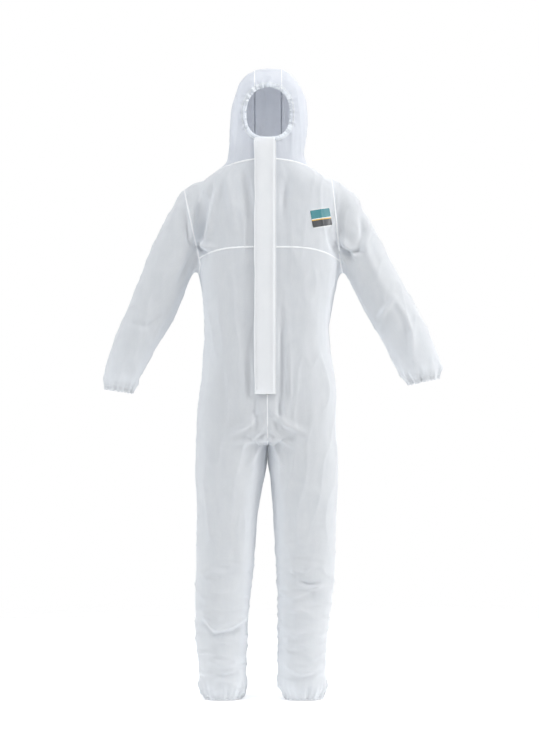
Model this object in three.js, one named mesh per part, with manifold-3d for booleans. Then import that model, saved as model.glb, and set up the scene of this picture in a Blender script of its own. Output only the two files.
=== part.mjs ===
// Hooded disposable protective coverall, size L/XL, closed and hanging as worn.
// Millimetres, +Z up, the wearer faces -Y, and +X is the wearer's left.
// The model is drawn upwards from the ankle hems. The outer group then puts
// the origin at the middle of the neck seam, on the line of the shoulders.
import * as THREE from 'three';
import { ParametricGeometry } from 'three/addons/geometries/ParametricGeometry.js';
import { mergeVertices } from 'three/addons/utils/BufferGeometryUtils.js';
import Module from 'manifold-3d';

const wasm = await Module();
wasm.setup();

// ---- Driving dimensions ----
const HEIGHT = 1750; // hems to crown
const NECK_Z = 1487; // height of the neck seam
const YOKE_Z = 1250; // height of the chest seam
const CROTCH_Z = 741;
const CLOTH = 1.6; // wall that stands for the cloth and its seams
const GAP = 0.3; // between pieces that are stitched together
const SUPPLE = 3.4; // roundness of the trunk's sections, 2 is an ellipse
const ROUND = 2.2; // roundness of legs and sleeves
const SLEEVE_CLEAR = 0.8; // between the armhole edge and the sleeve head

const ZIP_LOW_Z = 847; // bottom of the zip and of the flap
const ZIP_HIGH_Z = 1555; // top of both, at the chin
const FRONT_LOW_Y = -119; // the front line at the zip's bottom
const FRONT_HIGH_Y = -103; // and at its top
const FRONT_PROUD = 2.5; // how far the trunk stands in front of the flat front
const ZIP_EDGE = 8; // half the opening between the two front edges
const ZIP_LENGTH = Math.hypot(ZIP_HIGH_Z - ZIP_LOW_Z, FRONT_HIGH_Y - FRONT_LOW_Y);
const ZIP_TILT = Math.atan2(FRONT_HIGH_Y - FRONT_LOW_Y, ZIP_HIGH_Z - ZIP_LOW_Z);

const FACE_LOW_Z = 1556; // the elasticated face opening
const FACE_HIGH_Z = 1695;
const FACE_X = 1.5;
const FACE_WIDTH = 121;
const CASING_WIDTH = 12;
const HOOD_STRIP = 75; // width of the hood's centre panel

const ELASTIC_WIDTH = 8;
const ELASTIC_THICK = 1.2;

// ---- Solids ----
function solid(geometry) {
  const bare = geometry.clone();
  bare.deleteAttribute('normal');
  bare.deleteAttribute('uv');
  const merged = mergeVertices(bare, 1e-4);
  const corners = Array.from(merged.index.array);
  const kept = [];
  for (let i = 0; i < corners.length; i += 3) {
    const [a, b, c] = corners.slice(i, i + 3);
    if (a !== b && b !== c && a !== c) kept.push(a, b, c);
  }
  const vertProperties = new Float32Array(merged.attributes.position.array);
  const triVerts = new Uint32Array(kept);
  return new wasm.Manifold(new wasm.Mesh({ numProp: 3, vertProperties, triVerts }));
}

function geometryOf(shape) {
  const mesh = shape.getMesh();
  const geometry = new THREE.BufferGeometry();
  geometry.setAttribute('position', new THREE.BufferAttribute(mesh.vertProperties, 3));
  geometry.setIndex(new THREE.BufferAttribute(mesh.triVerts, 1));
  return geometry;
}

function block(low, high) {
  const size = high.map((value, axis) => value - low[axis]);
  const box = new THREE.BoxGeometry(...size);
  box.translate(...low.map((value, axis) => value + size[axis] / 2));
  return solid(box);
}

// A rib is one ring of cloth: its two outline points p and q, each [x, z],
// and how far it reaches forwards and backwards in y.
function rib(p, q, front, back) {
  return { p, q, front, back };
}

function superCosine(angle, power) {
  const value = Math.cos(angle);
  return Math.sign(value) * Math.abs(value) ** (2 / power);
}

function middleOf(r) {
  return new THREE.Vector3((r.p[0] + r.q[0]) / 2, (r.front + r.back) / 2, (r.p[1] + r.q[1]) / 2);
}

// A straight stretch added beyond the last rib, along the line of the tube.
function carriedOn(ribs, length) {
  const [before, last] = ribs.slice(-2);
  const out = middleOf(last).sub(middleOf(before)).setY(0).setLength(length);
  const moved = (point) => [point[0] + out.x, point[1] + out.z];
  return [...ribs, rib(moved(last.p), moved(last.q), last.front, last.back)];
}

// A closed solid through the ribs. Grow moves the wall out, or in below zero.
function loft(ribs, segments, power, grow = 0) {
  const rings = ribs.length;
  const centres = ribs.map(middleOf);
  const place = (u, v, target) => {
    const step = Math.round(v * (rings + 1));
    const ring = Math.min(Math.max(step - 1, 0), rings - 1);
    target.copy(centres[ring]);
    if (step === 0 || step === rings + 1) return;
    const r = ribs[ring];
    const across = new THREE.Vector3(r.q[0] - r.p[0], 0, r.q[1] - r.p[1]);
    const half = across.length() / 2;
    const depth = (r.back - r.front) / 2;
    const angle = 2 * Math.PI * u;
    across.normalize().multiplyScalar((half + grow) * superCosine(angle, power));
    target.add(across);
    target.y += (depth + grow) * superCosine(angle - Math.PI / 2, power);
  };
  const shape = solid(new ParametricGeometry(place, segments, rings + 1));
  return shape.volume() > 0 ? shape : solid(turnedInsideOut(place, segments, rings + 1));
}

function turnedInsideOut(place, segments, steps) {
  return new ParametricGeometry((u, v, target) => place(1 - u, v, target), segments, steps);
}

// ---- The flat front ----
function frontY(z) {
  const share = (z - ZIP_LOW_Z) / (ZIP_HIGH_Z - ZIP_LOW_Z);
  return FRONT_LOW_Y + (FRONT_HIGH_Y - FRONT_LOW_Y) * share;
}

// Everything behind the flat front, moved back by a wall's thickness.
function behindFront(inset) {
  const half = 1200;
  const room = new THREE.BoxGeometry(2 * half, 2 * half, 4 * half);
  room.translate(0, half, 0);
  room.rotateX(-ZIP_TILT);
  room.translate(0, FRONT_LOW_Y + inset, ZIP_LOW_Z);
  return solid(room);
}

// ---- Outlines of the coverall ----
function trunkRibs() {
  const level = (z, left, right, back, front = frontY(z) - FRONT_PROUD) =>
    rib([left, z], [right, z], front, back);
  return [
    level(CROTCH_Z, -196, 190, 98, -106),
    level(832, -188, 189, 112),
    level(898, -178, 184, 109),
    level(1016, -172, 169, 98),
    level(1100, -176, 178, 103),
    level(1198, -188, 195, 110),
    level(1300, -191, 192, 112),
    level(1400, -190, 191, 104),
    level(1437, -188, 189, 97),
    level(1452, -168, 169, 94),
    level(1466, -144, 142, 92),
    level(NECK_Z, -107, 105, 90),
    level(1517, -105, 101, 100),
    level(1572, -103, 108, 120),
    level(1633, -98, 108, 128),
    level(1672, -90, 102, 122, -100),
    level(1700, -80, 90, 108, -88),
    level(1722, -66, 74, 88, -68),
    level(1740, -42, 56, 60, -40),
    level(HEIGHT, -12, 34, 26, -12),
  ];
}

const LEG_HEIGHTS = [0, 14, 40, 72, 165, 303, 391, 507, 595, 662, CROTCH_Z, 775];
const LEG_DEPTH = [44, 58, 67, 70, 73, 77, 80, 85, 90, 94, 98, 98];
const LEG_FORWARD = [4, 2]; // added to the front depth, taken off the back one
const SIDES = [
  {
    name: 'right',
    sign: -1,
    legOuter: [-166, -184, -189, -190, -197, -200, -197, -197, -200, -198, -195, -185],
    legInner: [-80, -68, -62, -61, -55, -47, -39, -26, -13, -2, -0.5, -4],
    sleeveOuter: [[-140, 1448], [-235, 1413], [-272, 1356], [-308, 1286], [-345, 1195],
      [-385, 1098], [-428, 990], [-450, 905], [-446, 868]],
    sleeveInner: [[-140, 1228], [-192, 1210], [-206, 1184], [-226, 1145], [-262, 1062],
      [-300, 988], [-340, 912], [-362, 868], [-371, 842]],
  },
  {
    name: 'left',
    sign: 1,
    legOuter: [141, 158, 167, 165, 167, 179, 186, 190, 194, 195, 190, 182],
    legInner: [58, 42, 32, 29, 29, 28, 22, 18, 12, 2, 0.5, 4],
    sleeveOuter: [[140, 1448], [249, 1399], [270, 1352], [304, 1296], [352, 1202],
      [398, 1118], [447, 1024], [482, 930], [478, 900]],
    sleeveInner: [[140, 1236], [200, 1216], [212, 1190], [234, 1150], [268, 1084],
      [308, 1016], [348, 942], [386, 884], [401, 866]],
  },
];
const SLEEVE_DEPTH = [52, 62, 66, 66, 63, 60, 56, 50, 42];

const SLEEVE_FORWARD = 4;

function legRibs(side) {
  return LEG_HEIGHTS.map((z, i) => rib([side.legOuter[i], z], [side.legInner[i], z],
    -LEG_DEPTH[i] - LEG_FORWARD[0], LEG_DEPTH[i] - LEG_FORWARD[1]));
}

function sleeveRibs(side) {
  return side.sleeveOuter.map((outer, i) => rib(outer, side.sleeveInner[i],
    -SLEEVE_DEPTH[i] - SLEEVE_FORWARD, SLEEVE_DEPTH[i] - SLEEVE_FORWARD));
}

// Wall shapes, by how far they are grown. The hollows run out through the
// cuffs and the hems, so both stay open.
const OPEN_END = 6;
const TRUNK_SEGMENTS = 28;
const LEG_SEGMENTS = 20;
const SLEEVE_SEGMENTS = 16;
function trunk(grow) {
  const ribs = trunkRibs();
  const top = ribs[ribs.length - 1];
  top.p[1] += grow;
  top.q[1] += grow;
  ribs[0].p[1] -= grow;
  ribs[0].q[1] -= grow;
  return loft(ribs, TRUNK_SEGMENTS, SUPPLE, grow).intersect(behindFront(-grow));
}

function leg(side, grow) {
  const downwards = legRibs(side).reverse();
  const ribs = grow < 0 ? carriedOn(downwards, OPEN_END) : downwards;
  return loft(ribs, LEG_SEGMENTS, ROUND, grow);
}

function sleeve(side, grow) {
  const ribs = grow < 0 ? carriedOn(sleeveRibs(side), OPEN_END) : sleeveRibs(side);
  return loft(ribs, SLEEVE_SEGMENTS, ROUND, grow);
}

const FAR = 1000;
const hollow = SIDES.reduce((all, side) => all.add(leg(side, -CLOTH)), trunk(-CLOTH));
const outside = SIDES.reduce((all, side) => all.add(leg(side, 0)), trunk(0));
const shell = outside.subtract(hollow);
const wall = SIDES.reduce((all, side) => all.subtract(sleeve(side, -CLOTH)), shell);

const belowNeck = block([-FAR, -FAR, -FAR], [FAR, FAR, NECK_Z - GAP / 2]);
const aboveNeck = block([-FAR, -FAR, NECK_Z + GAP / 2], [FAR, FAR, 2 * FAR]);
const bodyWall = wall.intersect(belowNeck);
const hoodWall = wall.intersect(aboveNeck);

// ---- Scene ----
const coverall = new THREE.Group();
const drawn = new THREE.Group();
drawn.position.z = -NECK_Z;
coverall.add(drawn);

function material(color, roughness, metalness = 0) {
  return new THREE.MeshStandardMaterial({ color, roughness, metalness });
}

const CLOTH_WHITE = () => material(0xdde1e6, 0.75);
const ELASTIC_WHITE = () => material(0xe9e9e6, 0.7);
const NYLON_WHITE = () => material(0xeef0f2, 0.45);

function add(name, geometry, look, parent = drawn) {
  const mesh = new THREE.Mesh(geometry, look);
  mesh.name = name;
  parent.add(mesh);
  return mesh;
}

// Half of the coverall in front of or behind the side seams.
function quarter(sign, front, centreGap) {
  const x = sign > 0 ? [centreGap, FAR] : [-FAR, -centreGap];
  const y = front ? [-FAR, -GAP / 2] : [GAP / 2, FAR];
  return block([x[0], y[0], -FAR], [x[1], y[1], 2 * FAR]);
}

// The zip keeps the two front edges apart down to its bottom end.
const zipOpening = block([-ZIP_EDGE, -FAR, ZIP_LOW_Z], [ZIP_EDGE, 0, FACE_LOW_Z + CASING_WIDTH]);

function addFrontPanels(side) {
  const front = bodyWall.intersect(quarter(side.sign, true, GAP / 2)).subtract(zipOpening);
  const above = block([-FAR, -FAR, YOKE_Z + GAP / 2], [FAR, FAR, 2 * FAR]);
  const below = block([-FAR, -FAR, -FAR], [FAR, FAR, YOKE_Z - GAP / 2]);
  add(`yoke_front_${side.name}`, geometryOf(front.intersect(above)), CLOTH_WHITE());
  add(`front_panel_${side.name}`, geometryOf(front.intersect(below)), CLOTH_WHITE());
}

function addBackPanel(side) {
  const back = bodyWall.intersect(quarter(side.sign, false, GAP / 2));
  add(`back_panel_${side.name}`, geometryOf(back), CLOTH_WHITE());
}

function addSleeve(side) {
  const tube = sleeve(side, 0).subtract(sleeve(side, -CLOTH));
  const body = trunk(SLEEVE_CLEAR);
  add(`sleeve_${side.name}`, geometryOf(tube.subtract(body)), CLOTH_WHITE());
}

// ---- Hood ----
const CHIN_HALF = 28; // half the straight edge under the chin
const CHEEK_Z = 1617.5; // where the opening is widest
const JAW_ROUND = [8, 10, 22]; // pulls that shape the curve from chin to cheek
const BROW_ROUND = [44, 36]; // and from cheek to forehead

// A round-topped opening with a straight chin edge, as a block through the front.
function faceOpening(grow) {
  const side = FACE_WIDTH / 2 + grow;
  const low = FACE_LOW_Z - grow;
  const high = FACE_HIGH_Z + grow;
  const chin = CHIN_HALF + grow / 2;
  const [jawIn, jawUp, jawDown] = JAW_ROUND;
  const [browUp, browIn] = BROW_ROUND;
  const outline = new THREE.Shape();
  const curve = (ax, az, bx, bz, cx, cz) =>
    outline.bezierCurveTo(FACE_X + ax, az, FACE_X + bx, bz, FACE_X + cx, cz);
  outline.moveTo(FACE_X - chin, low);
  outline.lineTo(FACE_X + chin, low);
  curve(side - jawIn, low + jawUp, side, CHEEK_Z - jawDown, side, CHEEK_Z);
  curve(side, CHEEK_Z + browUp, browIn, high, 0, high);
  curve(-browIn, high, -side, CHEEK_Z + browUp, -side, CHEEK_Z);
  curve(-side, CHEEK_Z - jawDown, -side + jawIn, low + jawUp, -chin, low);
  const hole = new THREE.ExtrudeGeometry(outline, { depth: FAR, curveSegments: 6, bevelEnabled: false });
  hole.rotateX(Math.PI / 2);
  return solid(hole);
}

const STRIP_FRONT_Y = -70; // below the forehead the strip is only behind this

// The band over the crown and down the back that the centre panel is cut from.
function stripRoom(grow) {
  const left = FACE_X - HOOD_STRIP / 2 - grow;
  const right = FACE_X + HOOD_STRIP / 2 + grow;
  const back = block([left, STRIP_FRONT_Y - grow, NECK_Z], [right, FAR, 2 * FAR]);
  const forehead = block([left, -FAR, FACE_HIGH_Z - CASING_WIDTH - grow], [right, FAR, 2 * FAR]);
  return back.add(forehead);
}

function addHood() {
  const open = hoodWall.subtract(faceOpening(CASING_WIDTH + GAP)).subtract(zipOpening);
  const cleared = stripRoom(GAP);
  add('hood_centre_panel', geometryOf(open.intersect(stripRoom(0))), CLOTH_WHITE());
  for (const side of SIDES) {
    const x = side.sign > 0 ? [GAP / 2, FAR] : [-FAR, -GAP / 2];
    const part = block([x[0], -FAR, 0], [x[1], FAR, 2 * FAR]);
    add(`hood_side_${side.name}`, geometryOf(open.intersect(part).subtract(cleared)), CLOTH_WHITE());
  }
}

const FOLD = 1.2; // wall of the folded hem
const HEM_BACK_Y = -60; // the hem lies wholly in front of this

// A hem folded round the elastic: a channel open towards the hood panels.
function addFaceHem() {
  const fold = FOLD;
  const room = 2 * GAP + ELASTIC_THICK;
  const ring = (low, high) => faceOpening(high).subtract(faceOpening(low));
  const slab = (outer, inner) => trunk(outer).subtract(trunk(inner)).intersect(block(
    [-FAR, -FAR, NECK_Z], [FAR, HEM_BACK_Y, 2 * FAR]));
  const channel = slab(-fold, -fold - room).intersect(ring(2 * fold, CASING_WIDTH + 1));
  const hem = slab(0, -2 * fold - room).intersect(ring(0, CASING_WIDTH)).subtract(channel);
  add('hood_face_hem', geometryOf(hem.subtract(zipGroupRoom())), CLOTH_WHITE());
  const band = slab(-fold - GAP, -fold - GAP - ELASTIC_THICK)
    .intersect(ring(2 * fold + GAP, 2 * fold + GAP + ELASTIC_WIDTH));
  add('hood_face_elastic', geometryOf(band), ELASTIC_WHITE());
}

// The hem passes behind the top of the zip, so the slider has room there.
function zipGroupRoom() {
  return block([-ZIP_EDGE, -FAR, NECK_Z], [ZIP_EDGE, frontY(FACE_LOW_Z) + 3, FACE_LOW_Z - 1]);
}

// ---- Elastic in cuffs, hems and back waist ----
const ELASTIC_INSET = 4; // from the edge of a cuff or hem
function elasticBand(shape, low, high, keep) {
  const band = shape(-CLOTH - GAP).subtract(shape(-CLOTH - GAP - ELASTIC_THICK));
  return band.intersect(keep(low, high));
}

function addElastics(side) {
  const ankle = (low, high) => block([-FAR, -FAR, low], [FAR, FAR, high]);
  const hem = elasticBand((grow) => leg(side, grow),
    ELASTIC_INSET, ELASTIC_INSET + ELASTIC_WIDTH, ankle);
  add(`ankle_elastic_${side.name}`, geometryOf(hem), ELASTIC_WHITE());
  const outer = side.sleeveOuter.slice(-1)[0];
  const inner = side.sleeveInner.slice(-1)[0];
  const slope = Math.atan2(inner[1] - outer[1], inner[0] - outer[0]);
  const along = side.sign > 0 ? slope + Math.PI : slope;
  const cuff = (low, high) => {
    const slice = new THREE.BoxGeometry(FAR, FAR, high - low);
    slice.translate(0, 0, (low + high) / 2);
    slice.rotateY(-along);
    slice.translate(outer[0], 0, outer[1]);
    return solid(slice);
  };
  const wrist = elasticBand((grow) => sleeve(side, grow),
    ELASTIC_INSET, ELASTIC_INSET + ELASTIC_WIDTH, cuff);
  add(`wrist_elastic_${side.name}`, geometryOf(wrist), ELASTIC_WHITE());
}

const WAIST_Z = 1016;
const WAIST_ELASTIC = 18; // its width
const WAIST_SPAN = 130; // its reach to either side of the back

function addWaistElastic() {
  const band = (low, high) => block([-WAIST_SPAN, 20, low], [WAIST_SPAN, FAR, high]);
  const half = WAIST_ELASTIC / 2;
  const shape = elasticBand(trunk, WAIST_Z - half, WAIST_Z + half, band);
  add('waist_elastic', geometryOf(shape), ELASTIC_WHITE());
}

// ---- Labels ----
const LABEL_THICK = 0.7;
const CHEST_LABEL = [54, 52]; // width and height
const CHEST_LABEL_AT = [148, 1334]; // its middle, x and z
const CHEST_LABEL_TURN = -10; // degrees
const NECK_LABEL = [44, 58];
const NECK_LABEL_DOWN = 6; // below the neck seam

function addLabels() {
  const sheet = trunk(GAP + LABEL_THICK).subtract(trunk(GAP));
  const badge = new THREE.BoxGeometry(CHEST_LABEL[0], FAR, CHEST_LABEL[1]);
  badge.rotateY(THREE.MathUtils.degToRad(CHEST_LABEL_TURN));
  badge.translate(CHEST_LABEL_AT[0], -FAR / 2, CHEST_LABEL_AT[1]);
  add('chest_label', geometryOf(sheet.intersect(solid(badge))), material(0x2c6f73, 0.5));
  const inside = trunk(-CLOTH - GAP).subtract(trunk(-CLOTH - GAP - LABEL_THICK));
  const top = NECK_Z - NECK_LABEL_DOWN;
  const tag = block([-NECK_LABEL[0] / 2, 0, top - NECK_LABEL[1]], [NECK_LABEL[0] / 2, FAR, top]);
  add('neck_label', geometryOf(inside.intersect(tag)), material(0xf2f2ee, 0.6));
}

// ---- Front closure, in a group that leans with the front ----
const closure = new THREE.Group();
closure.position.set(0, FRONT_LOW_Y, ZIP_LOW_Z);
closure.rotation.x = -ZIP_TILT;
drawn.add(closure);

const TAPE_THICK = 0.6;
const TAPE_WIDTH = 13;
const COIL_WIDTH = 2.5;
const COIL_THICK = 1.6;
const COIL_INSET = 0.7; // half the slit between the two coils
const SLIDER_LENGTH = 14;
const SLIDER_HALF = 5;
const PLATE = 1.2;
const STOP_HEIGHT = 4;
const SLIDER_TOP = ZIP_LENGTH - 8; // where the slider's top rests when closed
const PIN_DOWN = 5; // from the slider's top to the pull's pin
const PIN_RADIUS = 1;
const PULL_LENGTH = 30;

function box(size, middle) {
  const shape = new THREE.BoxGeometry(...size);
  shape.translate(...middle);
  return shape;
}

const tapeY = -GAP - TAPE_THICK / 2;
const coilY = -2 * GAP - TAPE_THICK - COIL_THICK / 2;

function addZipHalf(side) {
  const s = side.sign;
  const tapeX = s * (COIL_INSET + 0.5 + TAPE_WIDTH / 2);
  const coilX = s * (COIL_INSET + COIL_WIDTH / 2);
  const low = STOP_HEIGHT + 1;
  const high = ZIP_LENGTH - 4.5;
  add(`zip_tape_${side.name}`, box([TAPE_WIDTH, TAPE_THICK, ZIP_LENGTH],
    [tapeX, tapeY, ZIP_LENGTH / 2]), CLOTH_WHITE(), closure);
  add(`zip_coil_${side.name}`, box([COIL_WIDTH, COIL_THICK, high - low],
    [coilX, coilY, (low + high) / 2]), NYLON_WHITE(), closure);
  add(`zip_top_stop_${side.name}`, box([COIL_WIDTH + 0.8, COIL_THICK + 0.6, 3],
    [s * (COIL_INSET + 0.4 + COIL_WIDTH / 2), coilY, ZIP_LENGTH - 2]),
  material(0xb9b6aa, 0.4, 0.6), closure);
}

function addZipBottomStop() {
  add('zip_bottom_stop', box([2 * SLIDER_HALF, COIL_THICK + 0.6, STOP_HEIGHT],
    [0, coilY, STOP_HEIGHT / 2]), material(0xb9b6aa, 0.4, 0.6), closure);
}

// Two plates round the tapes and coils, joined by the wedge between them.
function addSlider() {
  const faceY = coilY - COIL_THICK / 2 - GAP - PLATE / 2;
  const backY = PLATE / 2;
  const middle = SLIDER_TOP - SLIDER_LENGTH / 2;
  const face = solid(box([2 * SLIDER_HALF, PLATE, SLIDER_LENGTH], [0, faceY, middle]));
  const back = solid(box([2 * SLIDER_HALF, PLATE, SLIDER_LENGTH], [0, backY, middle]));
  const wedgeDepth = backY - faceY;
  const wedge = solid(box([0.8, wedgeDepth, 4], [0, (faceY + backY) / 2, SLIDER_TOP - 2.5]));
  const cheekDepth = -GAP - TAPE_THICK - GAP - faceY;
  let slider = face.add(back).add(wedge);
  for (const s of [-1, 1]) {
    const cheekX = s * (SLIDER_HALF - 0.6);
    slider = slider.add(solid(box([1.2, cheekDepth, SLIDER_LENGTH],
      [cheekX, faceY + cheekDepth / 2, middle])));
  }
  const pin = new THREE.CylinderGeometry(PIN_RADIUS, PIN_RADIUS, 3, 16);
  pin.translate(0, faceY - 1.6, SLIDER_TOP - PIN_DOWN);
  slider = slider.add(solid(pin));
  add('zip_slider', geometryOf(slider), material(0xe6e7e8, 0.35, 0.2), closure);
  return faceY - PLATE / 2;
}

// A long tab with a round eye on the slider's pin, hanging straight down.
function addPull(faceY) {
  const eyeRound = 2.2;
  const endRound = 3;
  const end = -PULL_LENGTH + endRound;
  const outline = new THREE.Shape();
  outline.moveTo(-eyeRound, 0);
  outline.lineTo(-endRound, end);
  outline.absarc(0, end, endRound, Math.PI, 2 * Math.PI, false);
  outline.lineTo(eyeRound, 0);
  outline.absarc(0, 0, eyeRound, 0, Math.PI, false);
  const eye = new THREE.Path();
  eye.absarc(0, 0, PIN_RADIUS + 0.35, 0, 2 * Math.PI, true);
  outline.holes.push(eye);
  const tab = new THREE.ExtrudeGeometry(outline, { depth: 1, curveSegments: 8, bevelEnabled: false });
  tab.rotateX(Math.PI / 2);
  tab.translate(0, faceY - 0.4, SLIDER_TOP - PIN_DOWN);
  add('zip_pull', tab, material(0xe6e7e8, 0.35, 0.2), closure);
}

const FLAP_THICK = 1.2;
const FLAP_AXIS_X = 16;
const FLAP_AXIS_Y = -4.9;
const FLAP_FREE_X = -37;
const FLAP_ROOT = 4; // outer radius of the turned root
const FLAP_JOIN_X = 12; // the stitched line between the leaf and its root
const FLAP_FACE_Y = FLAP_AXIS_Y - FLAP_ROOT;

function addStrip(name, outline) {
  const strip = new THREE.ExtrudeGeometry(outline,
    { depth: ZIP_LENGTH, curveSegments: 5, bevelEnabled: false });
  add(name, strip, CLOTH_WHITE(), closure);
}

// The flap is a flat leaf, and a stitched root that turns back to the panel.
function addFlap() {
  const inner = FLAP_FACE_Y + FLAP_THICK;
  const leaf = new THREE.Shape();
  leaf.moveTo(FLAP_FREE_X, FLAP_FACE_Y);
  leaf.lineTo(FLAP_JOIN_X, FLAP_FACE_Y);
  leaf.lineTo(FLAP_JOIN_X, inner);
  leaf.lineTo(FLAP_FREE_X, inner);
  addStrip('storm_flap', leaf);
  const root = new THREE.Shape();
  const rootX = FLAP_JOIN_X + GAP;
  root.moveTo(rootX, FLAP_FACE_Y);
  root.lineTo(FLAP_AXIS_X, FLAP_FACE_Y);
  root.absarc(FLAP_AXIS_X, FLAP_AXIS_Y, FLAP_ROOT, -Math.PI / 2, Math.PI / 2, false);
  root.absarc(FLAP_AXIS_X, FLAP_AXIS_Y, FLAP_ROOT - FLAP_THICK, Math.PI / 2, -Math.PI / 2, true);
  root.lineTo(rootX, inner);
  addStrip('storm_flap_root', root);
}

// Adhesive tape on the flap's inner face, under its peel-off liner.
function addFlapTape() {
  const width = 14;
  const length = ZIP_LENGTH - 30;
  const innerY = FLAP_FACE_Y + FLAP_THICK;
  const x = FLAP_FREE_X + 3 + width / 2;
  add('flap_adhesive_tape', box([width, 0.3, length],
    [x, innerY + GAP + 0.15, ZIP_LENGTH / 2]), material(0xe4e0d2, 0.3), closure);
  add('flap_release_liner', box([width + 1, 0.3, length + 2],
    [x, innerY + 2 * GAP + 0.45, ZIP_LENGTH / 2]), material(0xf4f4f0, 0.5), closure);
}

for (const side of SIDES) {
  addFrontPanels(side);
  addBackPanel(side);
  addSleeve(side);
  addElastics(side);
  addZipHalf(side);
}
addHood();
addFaceHem();
addWaistElastic();
addLabels();
addZipBottomStop();
const sliderFaceY = addSlider();
addPull(sliderFaceY);
addFlap();
addFlapTape();

export default coverall;
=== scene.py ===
import math

import bmesh
import bpy
import numpy as np
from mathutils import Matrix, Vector, noise
from mathutils.bvhtree import BVHTree


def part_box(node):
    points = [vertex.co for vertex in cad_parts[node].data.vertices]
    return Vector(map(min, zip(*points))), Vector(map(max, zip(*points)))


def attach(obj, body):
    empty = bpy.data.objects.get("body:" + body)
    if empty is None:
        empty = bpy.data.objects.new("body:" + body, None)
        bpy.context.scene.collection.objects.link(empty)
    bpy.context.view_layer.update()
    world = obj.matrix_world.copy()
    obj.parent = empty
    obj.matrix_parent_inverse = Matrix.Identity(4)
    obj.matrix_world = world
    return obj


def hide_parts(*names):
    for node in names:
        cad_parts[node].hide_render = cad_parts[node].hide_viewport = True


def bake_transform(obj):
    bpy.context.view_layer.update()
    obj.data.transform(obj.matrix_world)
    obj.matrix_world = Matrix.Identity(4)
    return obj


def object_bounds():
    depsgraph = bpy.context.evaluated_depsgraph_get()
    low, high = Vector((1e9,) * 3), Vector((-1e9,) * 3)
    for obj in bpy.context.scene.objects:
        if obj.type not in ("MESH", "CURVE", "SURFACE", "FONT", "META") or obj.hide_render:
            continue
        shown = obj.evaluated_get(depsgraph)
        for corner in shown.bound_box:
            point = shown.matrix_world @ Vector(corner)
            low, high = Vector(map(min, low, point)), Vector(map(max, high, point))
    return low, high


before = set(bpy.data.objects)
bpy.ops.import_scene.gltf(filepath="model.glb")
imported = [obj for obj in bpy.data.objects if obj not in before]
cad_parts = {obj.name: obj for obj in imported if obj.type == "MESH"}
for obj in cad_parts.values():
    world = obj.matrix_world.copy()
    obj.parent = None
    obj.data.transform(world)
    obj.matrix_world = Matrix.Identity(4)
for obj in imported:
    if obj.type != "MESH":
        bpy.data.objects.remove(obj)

cad_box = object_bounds()

# ---------------------------------------------------------------------------
# The cut of the coverall. The maker lays it out as tubes: a trunk that runs up
# into the hood, two legs and two set-in sleeves. Each tube is a row of rings,
# every ring given by its two outline points and its reach to front and back.
# ---------------------------------------------------------------------------
HEM = cad_box[0].z  # height of the ankle hems
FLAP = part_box("storm_flap")
ZIP_LOW, ZIP_HIGH = FLAP[0].z, FLAP[1].z
FRONT_LOW_Y, FRONT_HIGH_Y = -0.119, -0.103  # the flat front at the zip's two ends
CLOTH_THICK = 0.0007
WAIST = 1.016  # height of the waist elastic above the hems


def up(height):
    """A height above the ankle hems, in the suit's own frame."""
    return HEM + height


def front_y(z):
    """The flat front that carries the zip leans back a little towards the chin."""
    return FRONT_LOW_Y + (FRONT_HIGH_Y - FRONT_LOW_Y) * (z - ZIP_LOW) / (ZIP_HIGH - ZIP_LOW)


def smooth_rows(rows, count):
    """Rows of numbers drawn as smooth curves through their own values."""
    rows = np.array(rows, float)
    padded = np.vstack([2 * rows[0] - rows[1], rows, 2 * rows[-1] - rows[-2]])
    at = np.linspace(0, len(rows) - 1 - 1e-9, count)
    i = at.astype(int)
    t = (at - i)[:, None]
    a, b, c, d = (padded[i + k] for k in range(4))
    return 0.5 * (2 * b + (c - a) * t + (2 * a - 5 * b + 4 * c - d) * t**2 + (3 * b - a - 3 * c + d) * t**3)


def tube(rows, power, rings=70, around=72, inset=0.0):
    """A closed tube through rings of (x, z, x, z, front y, back y)."""
    rows = smooth_rows(rows, rings)
    angle = np.linspace(0, 2 * math.pi, around, endpoint=False)
    across = np.sign(np.cos(angle)) * np.abs(np.cos(angle)) ** (2 / power)
    deep = np.sign(np.sin(angle)) * np.abs(np.sin(angle)) ** (2 / power)
    bm = bmesh.new()
    loops = []
    for px, pz, qx, qz, front, back in rows:
        centre = np.array([(px + qx) / 2, (front + back) / 2, (pz + qz) / 2])
        half = np.array([(qx - px) / 2, 0, (qz - pz) / 2])
        width = np.linalg.norm(half)
        half *= max(width - inset, 0.002) / width
        depth = max((back - front) / 2 - inset, 0.002)
        points = centre + across[:, None] * half + deep[:, None] * np.array([0, depth, 0])
        loops.append([bm.verts.new(p) for p in points])
    for low, high in zip(loops, loops[1:]):
        for k in range(around):
            n = (k + 1) % around
            bm.faces.new((low[k], low[n], high[n], high[k]))
    bm.faces.new(loops[0][::-1])
    bm.faces.new(loops[-1])
    bmesh.ops.recalc_face_normals(bm, faces=bm.faces)
    return bm


def level(height, left, right, back, front=None):
    z = up(height)
    return (left, z, right, z, front_y(z) - 0.0025 if front is None else front, back)


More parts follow.
